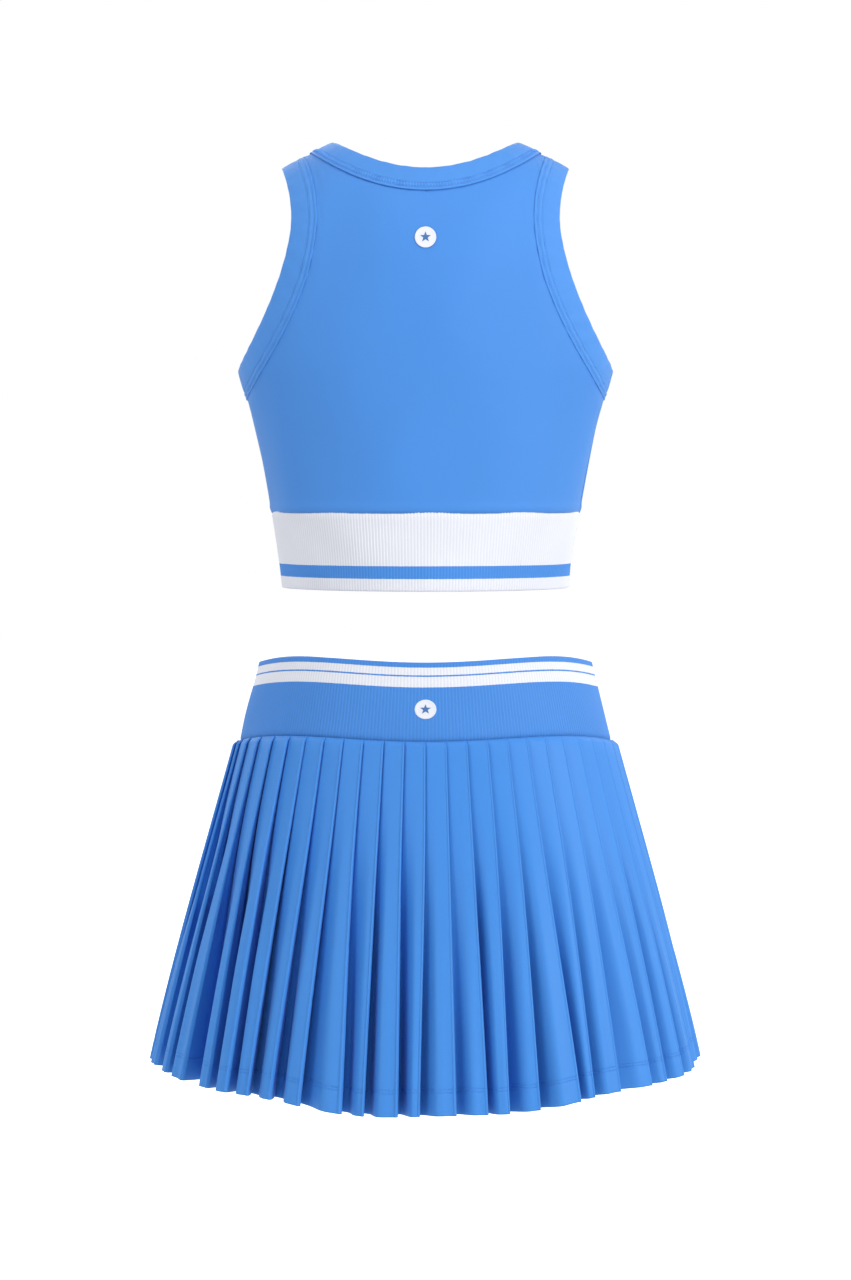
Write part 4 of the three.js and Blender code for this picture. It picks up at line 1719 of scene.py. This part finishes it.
@dataclass
class Shorts:
    """The shorts sewn in under the skirt: two panels and a gusset between the legs."""

    form: SkirtForm
    cloth: float = 0.9
    inset: float = 3.4
    rise: float = 186.0
    rise_curve: float = 4.0
    inseam: float = 62.0
    hip: tuple[float, float] = (166.0, 121.0)
    hip_drop: float = 90.0
    leg: tuple[float, float] = (142.0, 172.0)
    gusset: float = 15.0
    gusset_start: float = 0.74
    seam_gap: float = 0.6
    seam_overlap: float = 0.2

    def surface(self, round_: Array, down: Array) -> Array:
        """The left half, from the middle of the front round to the middle of the back.

        Args:
            round_: the shares of the way from front to back.
            down: the shares of the way to the hem.

        Returns:
            The points.
        """
        cut = self.form.cut
        round_, down = np.broadcast_arrays(round_, down)
        drop = down * (self.rise + self.inseam)
        fallen = np.clip(drop / self.rise, 0, 1)
        closing = fallen**self.rise_curve
        hip = smooth(drop, 0, self.hip_drop)
        width = mix(cut.seam[0] - self.inset, self.hip[0], hip)
        depth = mix(cut.seam[1] - self.inset, self.hip[1], hip)
        half, turn = round_ * HALF_TURN, round_ * FULL_TURN
        inner, outer = self.gusset * closing, self.gusset + self.leg[0]
        body_x, body_y = width * np.sin(half), -depth * np.cos(half)
        leg_x = (inner + outer) / 2 - (outer - inner) / 2 * np.cos(turn)
        leg_y = -self.leg[1] / 2 * np.sin(turn)
        top = cut.seam_tilt * body_y - cut.waistband_height
        level = mix(top, -cut.waistband_height, fallen) - self.seam_gap - drop
        return np.stack([mix(body_x, leg_x, closing), mix(body_y, leg_y, closing), level], -1)

    def above_gusset(self, down: Array) -> Array:
        """One where the two panels meet, and none where the gusset lies between them."""
        crotch = self.rise / (self.rise + self.inseam)
        return 1 - smooth(down / crotch, self.gusset_start - 0.04, self.gusset_start + 0.02)

    def panel(self, side: int) -> Cloth:
        """One half of the shorts, with its soft strain folds.

        Args:
            side: 1 or -1, for which half it is.

        Returns:
            The half, as a grid.
        """
        margin = self.seam_overlap / self.hip[0] / HALF_TURN
        round_, down = np.meshgrid(np.linspace(margin, 1 - margin, 91), np.linspace(0, 1, 73))
        points = self.surface(round_, down)
        normals = normals_of(self.surface, round_, down)
        long = self.rise + self.inseam
        folds = 0.8 * Ripple(61, (60.0, 25.0)).at(round_ * 400, down * long) * np.sin(round_ * HALF_TURN)
        from_hem = long * (1 - down)
        hem = 0.6 * np.exp(-(((from_hem - 6) / 4) ** 2)) - 0.35 * np.exp(-((from_hem - 13) ** 2))
        height = folds * np.sin(np.clip(down, 0, 1) * HALF_TURN) + hem
        points = points + normals * height[..., None]
        beside_seam = np.exp(-((np.minimum(round_, 1 - round_) / 0.05) ** 2))
        points[..., 0] -= self.surface(0.0, down)[..., 0] * self.above_gusset(down) * beside_seam
        places = np.stack([round_ * 400, down * long], -1)
        return Cloth(points * np.array([side, 1, 1]), places, flipped=side > 0)

    def gusset_cloth(self) -> Cloth:
        """The strip between the legs, from the front up and over to the back.

        Returns:
            The strip, as a grid.
        """
        crotch = self.rise / (self.rise + self.inseam)
        u, v = np.meshgrid(np.linspace(0, 1, 13), np.linspace(0, 1, 61))
        down = crotch * mix(self.gusset_start, 1, 1 - np.abs(2 * v - 1))
        edge = self.surface((v > 0.5).astype(float), down)
        half_width = edge[..., 0] * (1 - self.above_gusset(down)) + self.seam_overlap
        edge[..., 0] = half_width * (2 * u - 1)
        return Cloth(edge, np.stack([u * 2 * self.gusset, v * 110], -1))

    def build(self, finish: bpy.types.Material) -> list[bpy.types.Object]:
        """Makes the three pieces.

        Args:
            finish: the cloth's material.

        Returns:
            The pieces.
        """
        cloths = {
            "shorts_left_panel": self.panel(1),
            "shorts_right_panel": self.panel(-1),
            "shorts_gusset": self.gusset_cloth(),
        }
        pieces = []
        for name, cloth in cloths.items():
            mesh = mesh_of(name, [cloth])
            merge_close(mesh)
            piece = Piece(name + "_cloth", "skirt", "knit_blue", finish, (name,)).place(mesh, self.cloth)
            width, length, area = cloth.flat_size()
            pieces.append(piece)
        return pieces


class Skirt:
    """The skirt: a rib waistband, the pleated cloth and the shorts."""

    def __init__(self) -> None:
        """Sets out the skirt's form."""
        self.cut = SkirtSizes()
        self.form = SkirtForm(self.cut)

    def badge_surface(self, x: Array, up: Array) -> Array:
        """The waistband about the badge, by distances across and up.

        Args:
            x: the distances across.
            up: the distances up.

        Returns:
            The points.
        """
        share = Badge.below_waist / self.cut.waistband_height
        per_turn = mix(self.cut.waist[0], self.cut.seam[0], share)
        return self.form.waistband(-x / per_turn, share - up / self.cut.waistband_height)

    def build(self, paint: Finishes) -> list[bpy.types.Object]:
        """Makes the whole skirt.

        Args:
            paint: the materials.

        Returns:
            The pieces.
        """
        band = RibBand(
            "waistband", "skirt", "rib_blue", self.form.waistband, self.cut.waistband_height,
            ribs=340, pitch=2.4, inner=-0.8, outer=0.8, tail=4.5, seed=51,
        )
        pieces = [band.build(paint.rib_blue)]
        pieces += PleatedCloth(self.form).build(paint.pleat, paint.pleat_thread)
        pieces += Shorts(self.form).build(paint.knit)
        return pieces


# ----------------------------------------------------------------------------------------------------
# Badges and labels
# ----------------------------------------------------------------------------------------------------
@dataclass
class Badge:
    """A small round printed badge with a plain star on it."""

    name: str
    body: str
    surface: Callable[[Array, Array], Array]
    base: float
    radius: float = 8.8
    thickness: float = 0.5
    star_reach: float = 4.6
    below_neck: float = 60.5
    below_waist: float = 42.7

    def lifted(self, x: Array, up: Array, height: Array) -> Array:
        """Points above the cloth."""
        return self.surface(x, up) + outward_normals(self.surface, x, up) * height[..., None]

    def disc(self) -> Cloth:
        """The badge's face, its rounded rim and its back.

        Returns:
            The disc, as a grid.
        """
        face = [(0.001, 1.0), (0.3, 1.0), (0.6, 1.0), (0.86, 1.0)]
        rim = [(0.9, 1.25), (0.96, 1.25), (0.99, 0.9), (1.0, 0.4)]
        back = [(0.99, 0.0), (0.5, 0.0), (0.001, 0.0)]
        reach, height = np.array(face + rim + back).T
        turn = np.arange(72) * FULL_TURN / 72
        reach, turn = np.meshgrid(reach * self.radius, turn, indexing="ij")
        height = self.base + height[:, None] * self.thickness + 0 * turn
        x, up = reach * np.cos(turn), reach * np.sin(turn)
        return Cloth(self.lifted(x, up, height), np.stack([x, up], -1), closed_columns=True)

    def star(self) -> Cloth:
        """A low five-pointed star.

        Returns:
            The star, as a grid.
        """
        points = 10
        turn = QUARTER_TURN + np.arange(points) * FULL_TURN / points
        reach = np.where(np.arange(points) % 2, 0.42, 1.0) * self.star_reach
        scale, height = np.array([(1.0, 0.9), (1.0, 1.3), (0.93, 1.5), (0.5, 1.55), (0.01, 1.6)]).T
        x, up = scale[:, None] * reach * np.cos(turn), scale[:, None] * reach * np.sin(turn)
        height = self.base + height[:, None] * self.thickness + 0 * x
        return Cloth(self.lifted(x, up, height), np.stack([x, up], -1), closed_columns=True)

    def build(self, paint: Finishes) -> list[bpy.types.Object]:
        """Makes the disc and the star.

        Args:
            paint: the materials.

        Returns:
            The pieces.
        """
        disc = Piece(f"{self.name}_disc", self.body, "badge_white", paint.badge, (self.name,))
        star = Piece(f"{self.name}_star", self.body, "rib_blue", paint.motif)
        return [
            disc.place(mesh_of(self.name, [self.disc()])),
            star.place(mesh_of(f"{self.name}_star", [self.star()])),
        ]


@dataclass
class Label:
    """A blank woven label that hangs from its sewn top edge."""

    name: str
    width: float = 34.0
    height: float = 26.0
    thickness: float = 0.5

    def build(self, paint: Finishes) -> list[bpy.types.Object]:
        """Makes the label and the stitches along its top.

        Args:
            paint: the materials.

        Returns:
            The pieces.
        """
        low, high = (np.array(corner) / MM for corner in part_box(self.name))
        u, v = np.meshgrid(np.linspace(-1, 1, 31), np.linspace(0, 1, 25))
        x = u * self.width / 2
        z = high[2] - v * self.height
        bow = 0.9 * v * v * np.cos(u * 1.2) + 0.25 * np.sin(v * 5) * u
        y = (low[1] + high[1]) / 2 - bow
        cloth = Cloth(np.stack([x, y, z], -1), np.stack([x, v * self.height], -1))
        piece = Piece(f"{self.name}_cloth", self.name, "label_satin", paint.satin, (self.name,))
        label = piece.place(mesh_of(self.name, [cloth]), self.thickness)
        line = cloth.points[2] + np.array([0, -0.3, 0])
        normals = np.tile([0.0, -1.0, 0.0], (len(line), 1))
        name = f"{self.name}_stitches"
        stitches = Piece(name, self.name, "label_satin", paint.white_thread).place(
            stitches_mesh(name, [dashes(line, normals, 2.4)])
        )
        return [label, stitches]


# ----------------------------------------------------------------------------------------------------
# Finishes, studio and assembly
# ----------------------------------------------------------------------------------------------------
class Finishes:
    """Every material of the uniform."""

    def __init__(self) -> None:
        """Makes every material."""
        band_stripe = ((10.4, 21.0),)
        waist_white = ((4.8, 11.8), (13.2, 22.8))
        self.knit = ClothFinish("smooth_knit", Dye.BLUE, Texture.KNIT, (0.7, 0.5)).build()
        self.band = ClothFinish("band_knit", Dye.BAND_BLUE, Texture.KNIT, (0.7, 0.5), bump=0.3).build()
        self.pleat = ClothFinish(
            "pleated_twill", Dye.PLEAT_BLUE, Texture.WEAVE, (0.45,), roughness=0.55, sheen=0.08, bump=0.2
        ).build()
        rib = {"texture": Texture.KNIT, "pitch": (1.2, 0.8), "rib_pitch": 2.4}
        self.rib_white = ClothFinish(
            "white_rib", Dye.WHITE, **rib, stripes=band_stripe, stripe_dye=Dye.BLUE
        ).build()
        self.rib_blue = ClothFinish("blue_rib", Dye.RIB_BLUE, **rib, stripes=waist_white).build()
        self.satin = ClothFinish(
            "label_weave", Dye.SATIN, Texture.WEAVE, (0.35,), roughness=0.35, sheen=0.1, bump=0.15
        ).build()
        self.thread = PlainFinish("sewing_thread", Dye.THREAD_BLUE, 0.5).build()
        self.pleat_thread = PlainFinish("hem_thread", Dye.PLEAT_BLUE, 0.5).build()
        self.white_thread = PlainFinish("white_thread", Dye.WHITE, 0.5).build()
        self.badge = PlainFinish("badge_print", Dye.WHITE, 0.4).build()
        self.motif = PlainFinish("badge_star", Dye.MOTIF, 0.45).build()


@dataclass(frozen=True)
class SoftBox:
    """A soft lamp that faces the middle of the uniform. Its place and size are in metres."""

    name: str
    place: tuple[float, float, float]
    size: float
    power: float

    def build(self) -> None:
        """Makes the lamp."""
        lamp = bpy.data.lights.new(self.name, "AREA")
        lamp.shape = "SQUARE"
        lamp.size = self.size
        lamp.energy = self.power
        box = bpy.data.objects.new(self.name, lamp)
        box.location = self.place
        away = Vector(self.place) - Vector((0, 0, 0.05))
        box.rotation_euler = away.to_track_quat("Z", "Y").to_euler()
        bpy.context.scene.collection.objects.link(box)


@dataclass
class Studio:
    """A pale floor under a white sky, soft lights and the camera. Lengths are in metres."""

    floor: float = -0.62
    half_width: float = 9.0
    skylight: float = 0.42
    camera_distance: float = 1.8
    camera_height: float = 0.143
    lens: float = 58.5
    shift: float = -0.115
    lamps: tuple[SoftBox, ...] = (
        SoftBox("key", (-2.1, 1.65, 0.95), 0.8, 46),
        SoftBox("fill", (1.9, 2.1, 1.0), 1.2, 23),
        SoftBox("overhead", (0.2, 0.8, 2.2), 0.9, 12),
        SoftBox("back_left", (2.2, -1.2, 1.2), 1.6, 17),
        SoftBox("back_right", (-2.2, -1.2, 1.2), 1.6, 22),
        SoftBox("front", (0.6, -2.4, 1.5), 1.6, 26),
    )

    def floor_sheet(self) -> None:
        """Makes the floor, which is seen as white but throws little light up."""
        edge = self.half_width
        corners = [(-edge, -edge), (edge, -edge), (edge, edge), (-edge, edge)]
        mesh = bpy.data.meshes.new("floor")
        mesh.from_pydata([(x, y, self.floor) for x, y in corners], [], [(0, 1, 2, 3)])
        material, sketch, shader = new_material("pale_paper")
        shader.inputs["Base Color"].default_value = (0.7, 0.7, 0.7, 1)
        shader.inputs["Roughness"].default_value = 0.9
        shader.inputs["Specular IOR Level"].default_value = 0.1
        seen = sketch.add("ShaderNodeLightPath").outputs["Is Camera Ray"]
        glow = sketch.blend(seen, (0.05, 0.05, 0.05, 1), (0.9, 0.9, 0.9, 1))
        sketch.feed(shader.inputs["Emission Color"], glow)
        shader.inputs["Emission Strength"].default_value = 1.0
        mesh.materials.append(material)
        floor = bpy.data.objects.new("floor", mesh)
        bpy.context.scene.collection.objects.link(floor)

    def sky(self) -> None:
        """Lights the uniform softly from all round, and shows as plain white."""
        world = bpy.data.worlds.new("studio")
        world.use_nodes = True
        sketch = NodeSketch(world.node_tree)
        soft = world.node_tree.nodes["Background"]
        soft.inputs["Strength"].default_value = self.skylight
        white = sketch.add("ShaderNodeBackground")
        for background in (soft, white):
            background.inputs["Color"].default_value = (1, 1, 1, 1)
        either = sketch.add("ShaderNodeMixShader")
        seen = sketch.add("ShaderNodeLightPath").outputs["Is Camera Ray"]
        for socket, source in zip(either.inputs, (seen, soft.outputs[0], white.outputs[0])):
            sketch.feed(socket, source)
        sketch.feed(world.node_tree.nodes["World Output"].inputs["Surface"], either.outputs[0])
        bpy.context.scene.world = world

    def camera(self) -> None:
        """Stands the camera level behind the wearer."""
        lens = bpy.data.cameras.new("camera")
        lens.lens = self.lens
        lens.sensor_width = 36
        lens.shift_y = self.shift
        camera = bpy.data.objects.new("camera", lens)
        camera.location = (0, self.camera_distance, self.camera_height)
        camera.rotation_euler = (QUARTER_TURN, 0, HALF_TURN)
        bpy.context.scene.collection.objects.link(camera)
        bpy.context.scene.camera = camera

    def build(self) -> None:
        """Makes everything but the uniform."""
        self.floor_sheet()
        self.sky()
        for lamp in self.lamps:
            lamp.build()
        self.camera()
        bpy.context.scene.view_settings.view_transform = "Standard"


def main() -> None:
    """Builds the uniform around the frame."""
    logging.basicConfig(level=logging.INFO, format="%(name)s: %(message)s")
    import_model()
    Studio().build()
    paint = Finishes()
    top, skirt = Top(), Skirt()
    badges = [
        Badge("top_badge", "top", top.badge_surface, 0.9),
        Badge("skirt_badge", "skirt", skirt.badge_surface, 1.1),
    ]
    for part in (top, skirt, *badges, Label("neck_label"), Label("waist_label")):
        for piece in part.build(paint):
            log.info("%s: %d faces", piece.name, len(piece.data.polygons))


if __name__ == "__main__":
    main()
